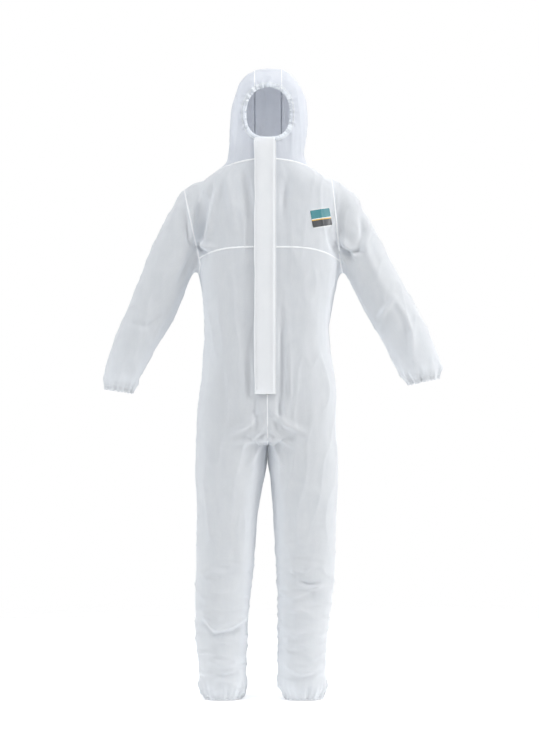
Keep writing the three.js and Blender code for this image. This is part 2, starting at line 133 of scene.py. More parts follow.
TRUNK = [
    level(0.735, -0.194, 0.189, 0.094, -0.100),
    level(0.780, -0.193, 0.189, 0.104, -0.112),
    level(0.832, -0.188, 0.189, 0.112),
    level(0.898, -0.179, 0.185, 0.108),
    level(WAIST, -0.172, 0.170, 0.097),
    level(1.100, -0.176, 0.177, 0.102),
    level(1.198, -0.188, 0.196, 0.110),
    level(1.300, -0.190, 0.192, 0.112),
    level(1.380, -0.189, 0.191, 0.106),
    level(1.425, -0.186, 0.188, 0.099),
    level(1.448, -0.168, 0.166, 0.094),
    level(1.468, -0.138, 0.134, 0.091),
    level(1.487, -0.110, 0.107, 0.090),
    level(1.517, -0.105, 0.099, 0.100),
    level(1.572, -0.103, 0.107, 0.120),
    level(1.633, -0.099, 0.108, 0.127),
    level(1.672, -0.090, 0.103, 0.122, -0.101),
    level(1.700, -0.081, 0.091, 0.108, -0.091),
    level(1.722, -0.068, 0.075, 0.088, -0.072),
    level(1.741, -0.044, 0.056, 0.060, -0.042),
    level(1.749, -0.014, 0.032, 0.026, -0.012),
]
LEG_HEIGHTS = [-0.05, 0.0, 0.014, 0.04, 0.072, 0.165, 0.303, 0.391, 0.507, 0.595, 0.662, 0.741, 0.790]
LEG_DEPTH = [0.048, 0.050, 0.058, 0.066, 0.070, 0.073, 0.077, 0.080, 0.086, 0.090, 0.094, 0.098, 0.098]
LEG_OUTER = {
    "right": [-.170, -.172, -.184, -.190, -.190, -.197, -.200, -.197, -.197, -.200, -.198, -.195, -.186],
    "left": [.148, .150, .158, .166, .165, .167, .180, .186, .190, .194, .195, .190, .182],
}
LEG_INNER = {
    "right": [-.074, -.074, -.066, -.062, -.061, -.056, -.047, -.039, -.027, -.015, -.008, -.007, -.010],
    "left": [.048, .048, .041, .032, .029, .030, .028, .022, .019, .013, .008, .007, .010],
}
SLEEVE_OUTER = {
    "right": [(-.120, 1.452), (-.184, 1.440), (-.236, 1.413), (-.272, 1.356), (-.306, 1.290), (-.343, 1.199),
              (-.376, 1.118), (-.412, 1.034), (-.440, .951), (-.450, .905), (-.450, .872), (-.450, .832)],
    "left": [(.120, 1.452), (.186, 1.440), (.246, 1.402), (.268, 1.356), (.302, 1.294), (.350, 1.205),
             (.392, 1.130), (.436, 1.045), (.466, .975), (.486, .925), (.480, .899), (.480, .858)],
}
SLEEVE_INNER = {
    "right": [(-.120, 1.240), (-.186, 1.222), (-.199, 1.200), (-.214, 1.170), (-.235, 1.122), (-.266, 1.053),
              (-.296, .998), (-.326, .943), (-.349, .899), (-.364, .868), (-.374, .847), (-.388, .808)],
    "left": [(.120, 1.246), (.192, 1.230), (.202, 1.208), (.222, 1.172), (.244, 1.130), (.280, 1.064),
             (.308, 1.016), (.338, .958), (.360, .915), (.384, .884), (.402, .866), (.414, .828)],
}
SLEEVE_DEPTH = [.050, .056, .064, .067, .066, .064, .061, .058, .054, .050, .045, .043]


def leg_rows(side):
    return [(LEG_OUTER[side][i], up(h), LEG_INNER[side][i], up(h), -LEG_DEPTH[i] - .004, LEG_DEPTH[i] - .002)
            for i, h in enumerate(LEG_HEIGHTS)]


def sleeve_rows(side):
    return [(ox, up(oz), ix, up(iz), -d - .004, d - .004)
            for (ox, oz), (ix, iz), d in zip(SLEEVE_OUTER[side], SLEEVE_INNER[side], SLEEVE_DEPTH)]


def body_form(name, inset, voxel):
    """All the tubes as one closed form, rounded where they run together."""
    whole = bmesh.new()
    for rows, power in [(TRUNK, 3.2)] + [(leg_rows(s), 2.3) for s in LEG_OUTER] + [
            (sleeve_rows(s), 2.2) for s in SLEEVE_OUTER]:
        part = tube(rows, power, inset=inset)
        scrap = bpy.data.meshes.new("scrap")
        part.to_mesh(scrap)
        part.free()
        whole.from_mesh(scrap)
        bpy.data.meshes.remove(scrap)
    mesh = bpy.data.meshes.new(name)
    whole.to_mesh(mesh)
    whole.free()
    form = bpy.data.objects.new(name, mesh)
    bpy.context.collection.objects.link(form)
    remesh = form.modifiers.new("even", "REMESH")
    remesh.mode = "VOXEL"
    remesh.voxel_size = voxel
    soften = form.modifiers.new("soften", "SMOOTH")
    soften.factor = 0.5
    soften.iterations = 5
    apply_all(form)
    return form


def apply_all(piece):
    """Turns a piece's modifiers into its own mesh."""
    graph = bpy.context.evaluated_depsgraph_get()
    made = bpy.data.meshes.new_from_object(piece.evaluated_get(graph), depsgraph=graph)
    old = piece.data
    piece.modifiers.clear()
    piece.data = made
    bpy.data.meshes.remove(old)


def points_of(mesh):
    flat = np.empty(len(mesh.vertices) * 3)
    mesh.vertices.foreach_get("co", flat)
    return flat.reshape(-1, 3)


def move_points(mesh, points):
    mesh.vertices.foreach_set("co", points.ravel())
    mesh.update()


def ease(low, high, value):
    """0 below low, 1 above high, smooth between."""
    t = np.clip((value - low) / (high - low), 0, 1)
    return t * t * (3 - 2 * t)


suit = body_form("suit_cloth", 0.0, 0.0095)


# ---------------------------------------------------------------------------
# Openings. The front lies flat for the zip; cuffs, ankles and face are open.
# The legs are sewn close together below the crotch and only then part.
# ---------------------------------------------------------------------------
FACE_MID = (0.0015, up(1.6255))
FACE_HALF = (0.0605, 0.0695)


def face_outline(grow=0.0, count=96):
    """The face opening from the front: round above, straight across the chin."""
    angle = np.linspace(0, 2 * math.pi, count, endpoint=False)
    x = np.sin(angle)
    z = -np.cos(angle)
    squared = np.where(z < 0, 2.7, 2.05)
    reach = (np.abs(x) ** squared + np.abs(z) ** squared) ** (-1 / squared)
    half = np.array(FACE_HALF) + grow
    return np.stack([FACE_MID[0] + half[0] * x * reach, FACE_MID[1] + half[1] * z * reach], 1)


def inside_face(x, z, grow=0.0):
    dx, dz = (x - FACE_MID[0]) / (FACE_HALF[0] + grow), (z - FACE_MID[1]) / (FACE_HALF[1] + grow)
    power = np.where(dz < 0, 2.7, 2.05)
    return np.abs(dx) ** power + np.abs(dz) ** power < 1


CUFF = {  # a point at the middle of each cuff's edge, and the way out of it
    "right": (Vector((-.409, -.004, up(.8535))), Vector((-.16, 0, -1)).normalized()),
    "left": (Vector((.4395, -.004, up(.8825))), Vector((.20, 0, -1)).normalized()),
}


def cut_off(bm, point, out, near=None):
    """Cuts the cloth square across and drops what lies beyond the cut."""
    faces = [f for f in bm.faces if near is None or (f.calc_center_median() - point).length < near]
    edges = {e for f in faces for e in f.edges}
    verts = {v for f in faces for v in f.verts}
    bmesh.ops.bisect_plane(bm, geom=[*verts, *edges, *faces], plane_co=point, plane_no=out)
    gone = [f for f in bm.faces if (f.calc_center_median() - point).dot(out) > 1e-6
            and (near is None or (f.calc_center_median() - point).length < near)]
    bmesh.ops.delete(bm, geom=gone, context="FACES")


def open_up(form):
    bm = bmesh.new()
    bm.from_mesh(form.data)
    cut_off(bm, Vector((0, 0, HEM)), Vector((0, 0, -1)))
    for point, out in CUFF.values():
        cut_off(bm, point, out, near=0.12)
    hole = [f for f in bm.faces if f.calc_center_median().y < -0.03
            and inside_face(f.calc_center_median().x, f.calc_center_median().z, 0.006)]
    bmesh.ops.delete(bm, geom=hole, context="FACES")
    loose = [v for v in bm.verts if not v.link_faces]
    bmesh.ops.delete(bm, geom=loose, context="VERTS")
    outline = face_outline(0.004)
    for v in bm.verts:
        if v.is_boundary and v.co.z > up(1.5):
            gap = outline - np.array([v.co.x, v.co.z])
            nearest = outline[np.argmin((gap**2).sum(1))]
            v.co.x, v.co.z = nearest
    bm.to_mesh(form.data)
    bm.free()
    p = points_of(form.data)
    x, y, z = p.T
    close = ease(up(.60), up(.66), z) * (1 - ease(up(.715), up(.76), z)) * (1 - ease(.02, .05, np.abs(x)))
    p[:, 0] = np.where(close > 0, np.sign(x) * np.maximum(np.abs(x) - .005 * close, .0012), x)
    p[:, 1] = np.where(z > up(.80), np.maximum(y, front_y(z)), y)
    move_points(form.data, p)


open_up(suit)


# ---------------------------------------------------------------------------
# Wear. The cloth is a little larger than the form inside it, so it buckles
# into shallow folds. Zip, hood rim, cuffs and ankle hems hold it in place.
# ---------------------------------------------------------------------------
FRAMES = 22
MOST_MOVE = 0.016  # no point leaves the cut by more than this


def hold_weights(points):
    x, y, z = points.T
    held = 1 - ease(.030, .060, np.abs(x))
    held *= (y < -.06) * ease(up(.80), up(.86), z) * (1 - ease(up(1.57), up(1.62), z))
    rim = np.sqrt((x - FACE_MID[0]) ** 2 + (z - FACE_MID[1]) ** 2)
    held = np.maximum(held, (y < -.06) * (z > up(1.5)) * (1 - ease(.075, .095, rim)))
    held = np.maximum(held, 1 - ease(up(.006), up(.028), z))
    for point, out in CUFF.values():
        along = (points - np.array(point)) @ np.array(out)
        near = np.linalg.norm(points - np.array(point), axis=1) < .13
        held = np.maximum(held, near * ease(-.030, -.008, along))
    return held


def wear(form):
    rest = points_of(form.data)
    held = hold_weights(rest)
    group = form.vertex_groups.new(name="held")
    for i, weight in enumerate(held):
        if weight > 0.01:
            group.add([i], float(weight), "REPLACE")
    inner = body_form("wearer", 0.011, 0.016)
    inner.modifiers.new("solid", "COLLISION")
    inner.collision.thickness_outer = 0.003
    inner.collision.cloth_friction = 12
    cloth = form.modifiers.new("cloth", "CLOTH")
    s = cloth.settings
    s.quality = 6
    s.mass = 0.08
    s.tension_stiffness = 30
    s.compression_stiffness = 30
    s.shear_stiffness = 12
    s.bending_stiffness = 0.9
    s.tension_damping = 12
    s.bending_damping = 1
    s.air_damping = 3
    s.shrink_min = -0.055
    s.vertex_group_mass = "held"
    s.pin_stiffness = 1.0
    cloth.collision_settings.distance_min = 0.003
    cloth.collision_settings.use_self_collision = False
    cloth.point_cache.frame_start = 1
    cloth.point_cache.frame_end = FRAMES
    scene = bpy.context.scene
    scene.frame_start = 1
    scene.frame_end = FRAMES
    for at in range(1, FRAMES + 1):
        scene.frame_set(at)
    apply_all(form)
    scene.frame_set(1)
    bpy.data.objects.remove(inner)
    worn = points_of(form.data)
    step = worn - rest
    size = np.linalg.norm(step, axis=1, keepdims=True)
    most = MOST_MOVE * (1 - .85 * ease(up(1.66), up(1.72), rest[:, 2]))[:, None]
    step *= np.minimum(1, most / np.maximum(size, 1e-9))
    move_points(form.data, rest + step)
    form.vertex_groups.clear()


wear(suit)


# ---------------------------------------------------------------------------
# Folds that the cut itself makes: drag lines from crotch and armpits, creases
# at elbow and knee, and the gathers that the elastics draw in.
# ---------------------------------------------------------------------------
def fine(form):
    """The cloth at its finished fineness."""
    form.modifiers.new("fine", "SUBSURF").levels = 1
    apply_all(form)
    p = points_of(form.data)
    normals = np.empty(len(form.data.vertices) * 3)
    form.data.vertices.foreach_get("normal", normals)
    return p, normals.reshape(-1, 3)


def from_line(x, z, line):
    """Distance to a line of (x, height) points, and how far along it that is."""
    best = np.full(x.shape, 9.0)
    share = np.zeros(x.shape)
    line = np.array([(a, up(b)) for a, b in line])
    steps = np.linalg.norm(np.diff(line, axis=0), axis=1)
    start = np.concatenate([[0], np.cumsum(steps)]) / steps.sum()
    for i, (a, b) in enumerate(zip(line, line[1:])):
        d = b - a
        t = np.clip(((x - a[0]) * d[0] + (z - a[1]) * d[1]) / (d @ d), 0, 1)
        gap = np.hypot(x - a[0] - t * d[0], z - a[1] - t * d[1])
        nearer = gap < best
        best = np.where(nearer, gap, best)
        share = np.where(nearer, start[i] + t * (start[i + 1] - start[i]), share)
    return best, share


# Each fold: side of the suit (-1 front, 1 back), line, height, width.
FOLDS = [
    (-1, [(-.020, .800), (-.060, .760), (-.110, .735)], .0040, .0080),
    (-1, [(-.008, .760), (-.045, .720), (-.085, .705)], .0040, .0075),
    (-1, [(.012, .802), (.050, .765), (.100, .742)], .0045, .0080),
    (-1, [(.006, .758), (.040, .722), (.078, .700)], .0040, .0070),
    (-1, [(-.006, .735), (-.030, .690), (-.050, .655)], .0035, .0070),
    (-1, [(.006, .735), (.026, .690), (.050, .640)], .0035, .0070),
    (-1, [(-.030, .860), (-.036, .800), (-.028, .755)], -.0030, .0080),
    (-1, [(.030, .850), (.034, .800), (.022, .750)], -.0030, .0080),
    (-1, [(-.196, 1.262), (-.186, 1.246), (-.166, 1.236)], -.0065, .0070),
    (-1, [(-.205, 1.280), (-.180, 1.258), (-.150, 1.252)], .0050, .0070),
    (-1, [(-.170, 1.385), (-.176, 1.320), (-.186, 1.265)], -.0035, .0070),
    (-1, [(-.158, 1.395), (-.164, 1.330), (-.172, 1.270)], .0030, .0070),
    (-1, [(.206, 1.275), (.222, 1.252), (.240, 1.232)], .0060, .0080),
    (-1, [(.212, 1.255), (.226, 1.236), (.240, 1.215)], -.0060, .0065),
    (-1, [(.196, 1.245), (.210, 1.228), (.222, 1.206)], .0045, .0060),
    (-1, [(.348, 1.115), (.330, 1.085), (.308, 1.058)], .0045, .0080),
    (-1, [(.352, 1.112), (.378, 1.070), (.398, 1.020), (.402, .945)], .0045, .0085),
    (-1, [(.250, 1.290), (.285, 1.215), (.320, 1.140)], .0030, .0110),
    (-1, [(-.250, 1.270), (-.280, 1.200), (-.310, 1.120)], .0025, .0120),
    (-1, [(-.300, 1.060), (-.335, 1.035), (-.380, 1.045)], -.0030, .0080),
    (-1, [(-.175, .230), (-.146, .197), (-.100, .205), (-.060, .226)], .0050, .0065),
    (-1, [(-.172, .214), (-.142, .184), (-.098, .192), (-.062, .212)], -.0040, .0065),
    (-1, [(.095, .316), (.120, .312), (.150, .320)], .0040, .0060),
    (-1, [(.060, .246), (.092, .250), (.120, .240)], .0035, .0060),
    (-1, [(.050, .192), (.080, .184), (.118, .196)], .0045, .0065),
    (-1, [(.104, .128), (.128, .118), (.150, .126)], .0040, .0065),
    (-1, [(-.190, .610), (-.150, .590), (-.110, .600)], .0020, .0140),
    (-1, [(.182, .600), (.145, .575), (.100, .585)], .0022, .0140),
    (-1, [(.034, 1.080), (.036, .980), (.040, .890), (.034, .800)], -.0060, .0100),
    (-1, [(.052, 1.020), (.056, .940), (.058, .860), (.048, .790)], .0040, .0090),
    (-1, [(-.044, 1.020), (-.050, .930), (-.046, .850), (-.030, .780)], -.0035, .0110),
    (-1, [(-.062, 1.460), (-.052, 1.400), (-.040, 1.330)], -.0030, .0120),
    (-1, [(-.112, 1.440), (-.100, 1.380), (-.092, 1.300)], .0030, .0110),
    (-1, [(.060, 1.455), (.048, 1.390), (.038, 1.330)], -.0030, .0120),
    (-1, [(-.130, 1.425), (-.146, 1.370), (-.158, 1.300), (-.178, 1.250)], .0045, .0080),
    (-1, [(-.150, 1.440), (-.160, 1.390), (-.168, 1.330), (-.190, 1.262)], -.0050, .0075),
    (-1, [(-.198, 1.390), (-.206, 1.330), (-.212, 1.275)], .0055, .0080),
    (-1, [(-.226, 1.350), (-.222, 1.300), (-.216, 1.262)], -.0045, .0070),
    (-1, [(.168, 1.300), (.176, 1.270), (.186, 1.244)], -.0040, .0080),
    (-1, [(.258, 1.360), (.262, 1.300), (.252, 1.246)], -.0040, .0080),
    (-1, [(.276, 1.340), (.280, 1.290), (.272, 1.240)], .0035, .0080),
    (-1, [(.194, 1.262), (.212, 1.243), (.236, 1.240), (.262, 1.242)], -.0060, .0060),
    (-1, [(-.205, 1.240), (-.226, 1.200), (-.252, 1.150)], -.0040, .0080),
    (-1, [(.036, .300), (.070, .286), (.110, .300)], .0035, .0060),
    (-1, [(.070, .360), (.100, .352), (.130, .372)], .0035, .0060),
    (-1, [(.085, .335), (.112, .322), (.142, .326)], -.0035, .0055),
    (-1, [(.044, .150), (.076, .146), (.110, .158)], .0040, .0060),
    (-1, [(.060, .090), (.095, .076), (.140, .094)], .0050, .0075),
    (-1, [(-.160, .300), (-.130, .296), (-.090, .302)], .0025, .0060),
    (-1, [(-.165, .360), (-.120, .354), (-.080, .362)], .0022, .0070),
    (-1, [(-.160, .110), (-.120, .098), (-.080, .112)], .0038, .0080),
    (-1, [(-.156, .080), (-.120, .066), (-.084, .078)], -.0038, .0070),
    (1, [(-.150, 1.330), (-.110, 1.300), (-.060, 1.295)], .0040, .0110),
    (1, [(-.170, 1.400), (-.120, 1.250), (-.060, 1.130), (-.020, 1.040)], .0045, .0130),
    (1, [(.170, 1.400), (.120, 1.250), (.060, 1.130), (.020, 1.040)], .0045, .0130),
    (1, [(-.100, .990), (-.110, .900), (-.120, .820)], .0040, .0120),
    (1, [(.100, .990), (.112, .900), (.120, .820)], .0040, .0120),
    (1, [(-.040, .990), (-.046, .930), (-.040, .860)], .0035, .0110),
    (1, [(.040, .990), (.046, .930), (.040, .860)], .0035, .0110),
    (1, [(.150, 1.335), (.105, 1.300), (.050, 1.292)], .0040, .0110),
    (1, [(-.020, .800), (-.070, .740), (-.130, .700)], .0060, .0110),
    (1, [(.020, .800), (.070, .740), (.130, .700)], .0060, .0110),
    (1, [(-.150, .470), (-.110, .450), (-.070, .462)], .0055, .0090),
    (1, [(.150, .465), (.110, .445), (.070, .458)], .0055, .0090),
    (1, [(-.155, .430), (-.115, .412), (-.072, .425)], .0040, .0090),
    (1, [(.152, .428), (.112, .410), (.072, .420)], .0040, .0090),
    (1, [(-.330, 1.080), (-.305, 1.065), (-.280, 1.070)], .0045, .0080),
    (1, [(.345, 1.085), (.320, 1.068), (.292, 1.075)], .0045, .0080),
]


FOLD_DEPTH = 1.9  # the folds' heights are raised by this much all together


def fold_in(p, normals):
    x, _, z = p.T
    lift = np.zeros(len(p))
    for side, line, height, width in FOLDS:
        gap, share = from_line(x, z, line)
        facing = ease(-.15, .35, normals[:, 1] * side)
        taper = np.clip(np.sin(math.pi * (0.08 + 0.84 * share)), 0, 1) ** .7
        lift += FOLD_DEPTH * height * np.exp(-(gap / width) ** 2) * facing * taper
    return lift


def gathers(p):
    """Small pleats that run away from each elastic and die out."""
    x, y, z = p.T
    lift = np.zeros(len(p))
    for side, outer, inner in (("right", -.172, -.074), ("left", .150, .048)):
        middle = (outer + inner) / 2
        near = (x < 0) if side == "right" else (x > 0)
        angle = np.arctan2(y + .003, x - middle)
        height = z - HEM
        wave = np.sin(17 * angle + 3 * np.sin(3 * angle))
        wave = wave + .6 * np.sin(29 * angle + 2 * np.sin(2 * angle) + 1)
        lift += near * .0026 * wave * (1 - ease(.012, .075, height))
        band = np.exp(-((height - .040) / .016) ** 2)
        lift += near * .0032 * band * (1 + .5 * np.sin(9 * angle))
    for side, (point, out) in CUFF.items():
        away = p - np.array(point)
        along = -(away @ np.array(out))
        near = (np.linalg.norm(away, axis=1) < .12) & (along < .1)
        side_way = np.array(Vector((0, 1, 0)).cross(out))
        angle = np.arctan2(away[:, 1], away @ side_way)
        wave = np.sin(15 * angle + 2.5 * np.sin(2 * angle)) + .6 * np.sin(26 * angle + 2 * np.sin(3 * angle))
        lift += near * .0024 * wave * (1 - ease(.010, .065, along))
        lift += near * .0030 * np.exp(-((along - .030) / .012) ** 2)
    dx, dz = x - FACE_MID[0], z - FACE_MID[1]
    rim = np.hypot(dx / FACE_HALF[0], dz / FACE_HALF[1])
    angle = np.arctan2(dz, dx)
    front = (y < -.045) & (z > up(1.5))
    wave = np.sin(23 * angle + 2 * np.sin(3 * angle)) + .7 * np.sin(37 * angle + 3 * np.sin(2 * angle))
    chin = 1 - .75 * np.exp(-((angle + math.pi / 2) / .5) ** 2)
    lift += front * chin * .0019 * wave * (1 - ease(1.10, 1.50, rim))
    waist = np.exp(-((z - up(WAIST)) / .022) ** 2) * (y > .02) * (np.abs(x) < .15)
    lift -= waist * (.0035 + .0020 * np.sin(x * 330 + 2 * np.sin(x * 60)))
    return lift


def crumple(p):
    """Broad slack all over, from the cloth's own stiffness."""
    lift = np.empty(len(p))
    for i, point in enumerate(p):
        q = Vector(point)
        broad = noise.noise(Vector((q.x * 15, q.y * 15, q.z * 6)) + Vector((3, 1, 7)))
        small = noise.noise(Vector((q.x * 38, q.y * 38, q.z * 22)) + Vector((9, 4, 2)))
        hanging = 1 - abs(noise.noise(Vector((q.x * 24, q.y * 24, q.z * 5)) + Vector((5, 8, 1)))) * 2
        across = 1 - abs(noise.noise(Vector((q.x * 9, q.y * 9, q.z * 34)) + Vector((2, 6, 4)))) * 2
        low = float(ease(up(.62), up(.25), q.z))
        lift[i] = (.0046 * broad + .0014 * small + .0030 * (1 - low) * max(hanging, 0)**3
                   + .0042 * low * max(across, 0)**4)
    return lift


def shape_cloth(form):
    p, normals = fine(form)
    x, y, z = p.T
    held_flat = (1 - ease(.022, .050, np.abs(x))) * (y < -.06) * ease(up(.80), up(.85), z)
    held_flat *= 1 - ease(up(1.56), up(1.60), z)
    lift = crumple(p) + fold_in(p, normals)
    lift = lift * (1 - held_flat) + gathers(p) * (1 - held_flat)
    p = p + normals * lift[:, None]
    front = (np.abs(p[:, 0]) < .030) & (p[:, 1] < -.06) & (p[:, 2] > up(.845)) & (p[:, 2] < up(1.565))
    p[:, 1] = np.where(front, front_y(p[:, 2]) + .0004, p[:, 1])
    ahead = (p[:, 2] > up(.80)) & (p[:, 2] < up(1.565)) & (np.abs(p[:, 0]) < .06)
    p[:, 1] = np.where(ahead, np.maximum(p[:, 1], front_y(p[:, 2])), p[:, 1])
    p[:, 2] = np.maximum(p[:, 2], HEM)
    move_points(form.data, p)


shape_cloth(suit)


# ---------------------------------------------------------------------------
# Bonded nonwoven: white polypropylene fibres pressed together at a close grid
# of points, soft and matt, a little cloudy where the fibres lie thicker.
# ---------------------------------------------------------------------------
class Socket:
    """A shader value that can be reckoned with."""

    def __init__(self, tree, out):
        self.tree, self.out = tree, out

    def node(self, kind, settings=None, values=None, output=0):
        """Any shader node: its settings first, then its sockets' values or links."""
        made = self.tree.nodes.new(kind)
        for key, value in (settings or {}).items():
            if key == "stops":
                while len(made.color_ramp.elements) < len(value):
                    made.color_ramp.elements.new(0.5)
                for element, (place, colour) in zip(made.color_ramp.elements, value):
                    element.position = place
                    element.color = (*colour, 1)
            else:
                setattr(made, key, value)
        pairs = values.items() if isinstance(values, dict) else enumerate(values or [])
        for key, value in pairs:
            if isinstance(value, Socket):
                self.tree.links.new(value.out, made.inputs[key])
            else:
                made.inputs[key].default_value = value
        return Socket(self.tree, made.outputs[output])

    def maths(self, operation, *values):
        return self.node("ShaderNodeMath", {"operation": operation}, list(values))

    def mixed(self, share, first, second):
        """Two colours mixed by a share."""
        return self.node("ShaderNodeMix", {"data_type": "RGBA"}, {0: share, 6: first, 7: second}, output=2)

    def bump(self, height, strength, distance):
        return self.node("ShaderNodeBump", None,
                         {"Strength": strength, "Distance": distance, "Height": height})

    def __add__(self, other):
        return self.maths("ADD", self, other)

    def __sub__(self, other):
        return self.maths("SUBTRACT", self, other)

    def __mul__(self, other):
        return self.maths("MULTIPLY", self, other)

    def __rsub__(self, other):
        return self.maths("SUBTRACT", other, self)

    __radd__ = __add__
    __rmul__ = __mul__


def finish_of(name, **constants):
    """A new material: its shader, and the place that its pattern is laid on."""
    made = bpy.data.materials.new(name)
    made.use_nodes = True
    tree = made.node_tree
    shader = tree.nodes["Principled BSDF"]
    for key, value in constants.items():
        shader.inputs[key.replace("_", " ")].default_value = value
    place = Socket(tree, None).node("ShaderNodeTexCoord", output=3)
    return made, shader, place


def feed(shader, **sources):
    for key, source in sources.items():
        source.tree.links.new(source.out, shader.inputs[key.replace("_", " ")])


def nonwoven(name, light=(.80, .83, .865), shade=(.70, .735, .785), emboss=0.35):
    made, shader, place = finish_of(
        name, Subsurface_Weight=0.75, Subsurface_Scale=0.0035, Sheen_Weight=0.12, Sheen_Roughness=0.6,
        Specular_IOR_Level=0.35)
    shader.inputs["Subsurface Radius"].default_value = (1, 1, 1)
    points = place.node("ShaderNodeTexVoronoi", {"feature": "F1"},
                        {"Vector": place, "Scale": 520.0, "Randomness": 0.35})
    pressed = place.node("ShaderNodeMapRange", {"interpolation_type": "SMOOTHSTEP"},
                         {0: points, 1: 0.18, 2: 0.42, 3: 0.0, 4: 1.0})
    stretched = place.node("ShaderNodeMapping", None, {"Vector": place, "Scale": (1.0, 1.0, 0.18)})
    fibres = place.node("ShaderNodeTexNoise", None,
                        {"Vector": stretched, "Scale": 900.0, "Detail": 3.0, "Roughness": 0.65})
    cloud = place.node("ShaderNodeTexNoise", None,
                       {"Vector": stretched, "Scale": 75.0, "Detail": 6.0, "Roughness": 0.62})
    creases = place.node("ShaderNodeTexNoise", {"noise_type": "RIDGED_MULTIFRACTAL"},
                         {"Vector": place, "Scale": 14.0, "Detail": 4.0, "Roughness": 0.5, "Distortion": 0.5})
    patches = place.node("ShaderNodeTexNoise", None,
                         {"Vector": place, "Scale": 12.0, "Detail": 5.0, "Roughness": 0.6, "Distortion": 0.8})
    tone = cloud * 0.60 + patches * 1.00 + fibres * 0.30 - 0.47
    colour = place.mixed(tone, (*shade, 1), (*light, 1))
    colour = place.mixed((1 - pressed) * 0.28, colour, (*[c * 0.93 for c in shade], 1))
    rough = 0.60 + pressed * 0.12 + fibres * 0.08
    height = pressed * 0.6 + fibres * 0.5
    skin = place.bump(height, emboss, 0.00025)
    folded = place.node("ShaderNodeBump", None,
                        {"Strength": 0.34, "Distance": 0.006, "Height": creases, "Normal": skin})
    feed(shader, Base_Color=colour, Roughness=rough, Normal=folded)
    return made


CLOTH = nonwoven("nonwoven_cloth")
# The hood's panels take the same nonwoven painted darker and bluer: painted shade for the hood, which lies
# further from the lamps.
HOOD_PAINTED_SHADE_CLOTH = nonwoven("hood_cloth_painted_shade", light=(.735, .765, .83), shade=(.62, .655, .735))


# ---------------------------------------------------------------------------
# Panels. The cloth is cut where the real panels are sewn: neck, cross seam,
# armholes, sides, centre front and back, and either side of the hood's strip.
# ---------------------------------------------------------------------------
ZIP_EDGE = 0.008
STRIP_HALF = 0.0375
SIDE_Y = -0.004
UNDERARM = up(1.205)  # below this the armhole seam turns outwards
UNDERARM_SLOPE = 0.25
ARMHOLE = {  # a point on each armhole seam and the way out through it
    "right": (Vector((-.190, 0, up(1.225))), Vector((-1, 0, -.217)).normalized()),
    "left": (Vector((.200, 0, up(1.231))), Vector((1, 0, .105)).normalized()),
}


def neck_height(x, y):
    front = up(1.4965) - 1.45 * x * x
    share = float(ease(-.06, .06, y))
    return front * (1 - share) + up(1.486) * share


def cross_height(x, y):
    return up(1.253) - 23 * min(abs(x), .2) ** 4


def side_of_armhole(point, side):
    """Above zero out on the sleeve, below zero on the trunk."""
    at, out = ARMHOLE[side]
    if point.z > UNDERARM:
        return (point - at).dot(out)
    sign, start = (-1, .1857) if side == "right" else (1, .2027)
    return sign * point.x - (start + (UNDERARM - point.z) * UNDERARM_SLOPE)


def panel_of(point):
    """The panel that a patch of cloth belongs to."""
    side = "right" if point.x < 0 else "left"
    if point.z > up(1.15) or abs(point.x) > .19:
        if side_of_armhole(point, side) > 0 and up(.80) < point.z < up(1.47):
            return f"sleeve_{side}"
    if point.z > neck_height(point.x, point.y):
        strip = abs(point.x - FACE_MID[0]) < STRIP_HALF and (point.y > -.07 or point.z > up(1.685))
        return "hood_centre_panel" if strip else f"hood_side_{side}"
    if point.y > SIDE_Y:
        return f"back_panel_{side}"
    return f"yoke_front_{side}" if point.z > cross_height(point.x, point.y) else f"front_panel_{side}"


def cut_where(bm, chosen, point, normal):
    faces = [f for f in bm.faces if chosen(f.calc_center_median())]
    edges = {e for f in faces for e in f.edges}
    verts = {v for f in faces for v in f.verts}
    bmesh.ops.bisect_plane(bm, geom=[*verts, *edges, *faces], dist=1e-5, plane_co=point, plane_no=normal)


def cut_at_height(bm, chosen, height):
    """Cuts along a seam whose height changes across the cloth."""
    for v in bm.verts:
        v.co.z -= height(v.co.x, v.co.y)
    cut_where(bm, chosen, (0, 0, 0), (0, 0, 1))
    for v in bm.verts:
        v.co.z += height(v.co.x, v.co.y)


def cut_seams(bm):
    for side, (at, out) in ARMHOLE.items():
        sign = -1 if side == "right" else 1
        cut_where(bm, lambda c: sign * c.x > .14 and up(1.19) < c.z < up(1.47), at, out)
    cut_at_height(bm, lambda c: abs(c.z) < .05 and abs(c.x) < .15, neck_height)
    cut_at_height(bm, lambda c: c.y < .02 and abs(c.z) < .05 and abs(c.x) < .21, cross_height)
    cut_where(bm, lambda c: c.z < .03 and not panel_of(c).startswith("sleeve"), (0, SIDE_Y, 0), (0, 1, 0))
    cut_where(bm, lambda c: abs(c.x) < .03, (0, 0, 0), (1, 0, 0))
    for edge in (-ZIP_EDGE, ZIP_EDGE):
        cut_where(bm, lambda c: c.y < -.05 and abs(c.x) < .03 and c.z > ZIP_LOW - .02,
                  (edge, 0, 0), (1, 0, 0))
    cut_where(bm, lambda c: c.y < -.05 and abs(c.x) < .02 and c.z < up(.9), (0, 0, ZIP_LOW), (0, 0, 1))
    for edge in (-STRIP_HALF, STRIP_HALF):
        cut_where(bm, lambda c: c.z > -.01, (FACE_MID[0] + edge, 0, 0), (1, 0, 0))
    gap = [f for f in bm.faces if in_zip_gap(f.calc_center_median())]
    bmesh.ops.delete(bm, geom=gap, context="FACES")


def in_zip_gap(c):
    return c.y < -.05 and abs(c.x) < ZIP_EDGE and ZIP_LOW < c.z < up(1.60)


def new_piece(name, verts, faces, material, smooth=True):
    mesh = bpy.data.meshes.new(name)
    mesh.from_pydata([tuple(v) for v in verts], [], [tuple(f) for f in faces])
    mesh.update()
    mesh.materials.append(material)
    mesh.polygons.foreach_set("use_smooth", [smooth] * len(mesh.polygons))
    piece = bpy.data.objects.new(name, mesh)
    bpy.context.collection.objects.link(piece)
    return piece


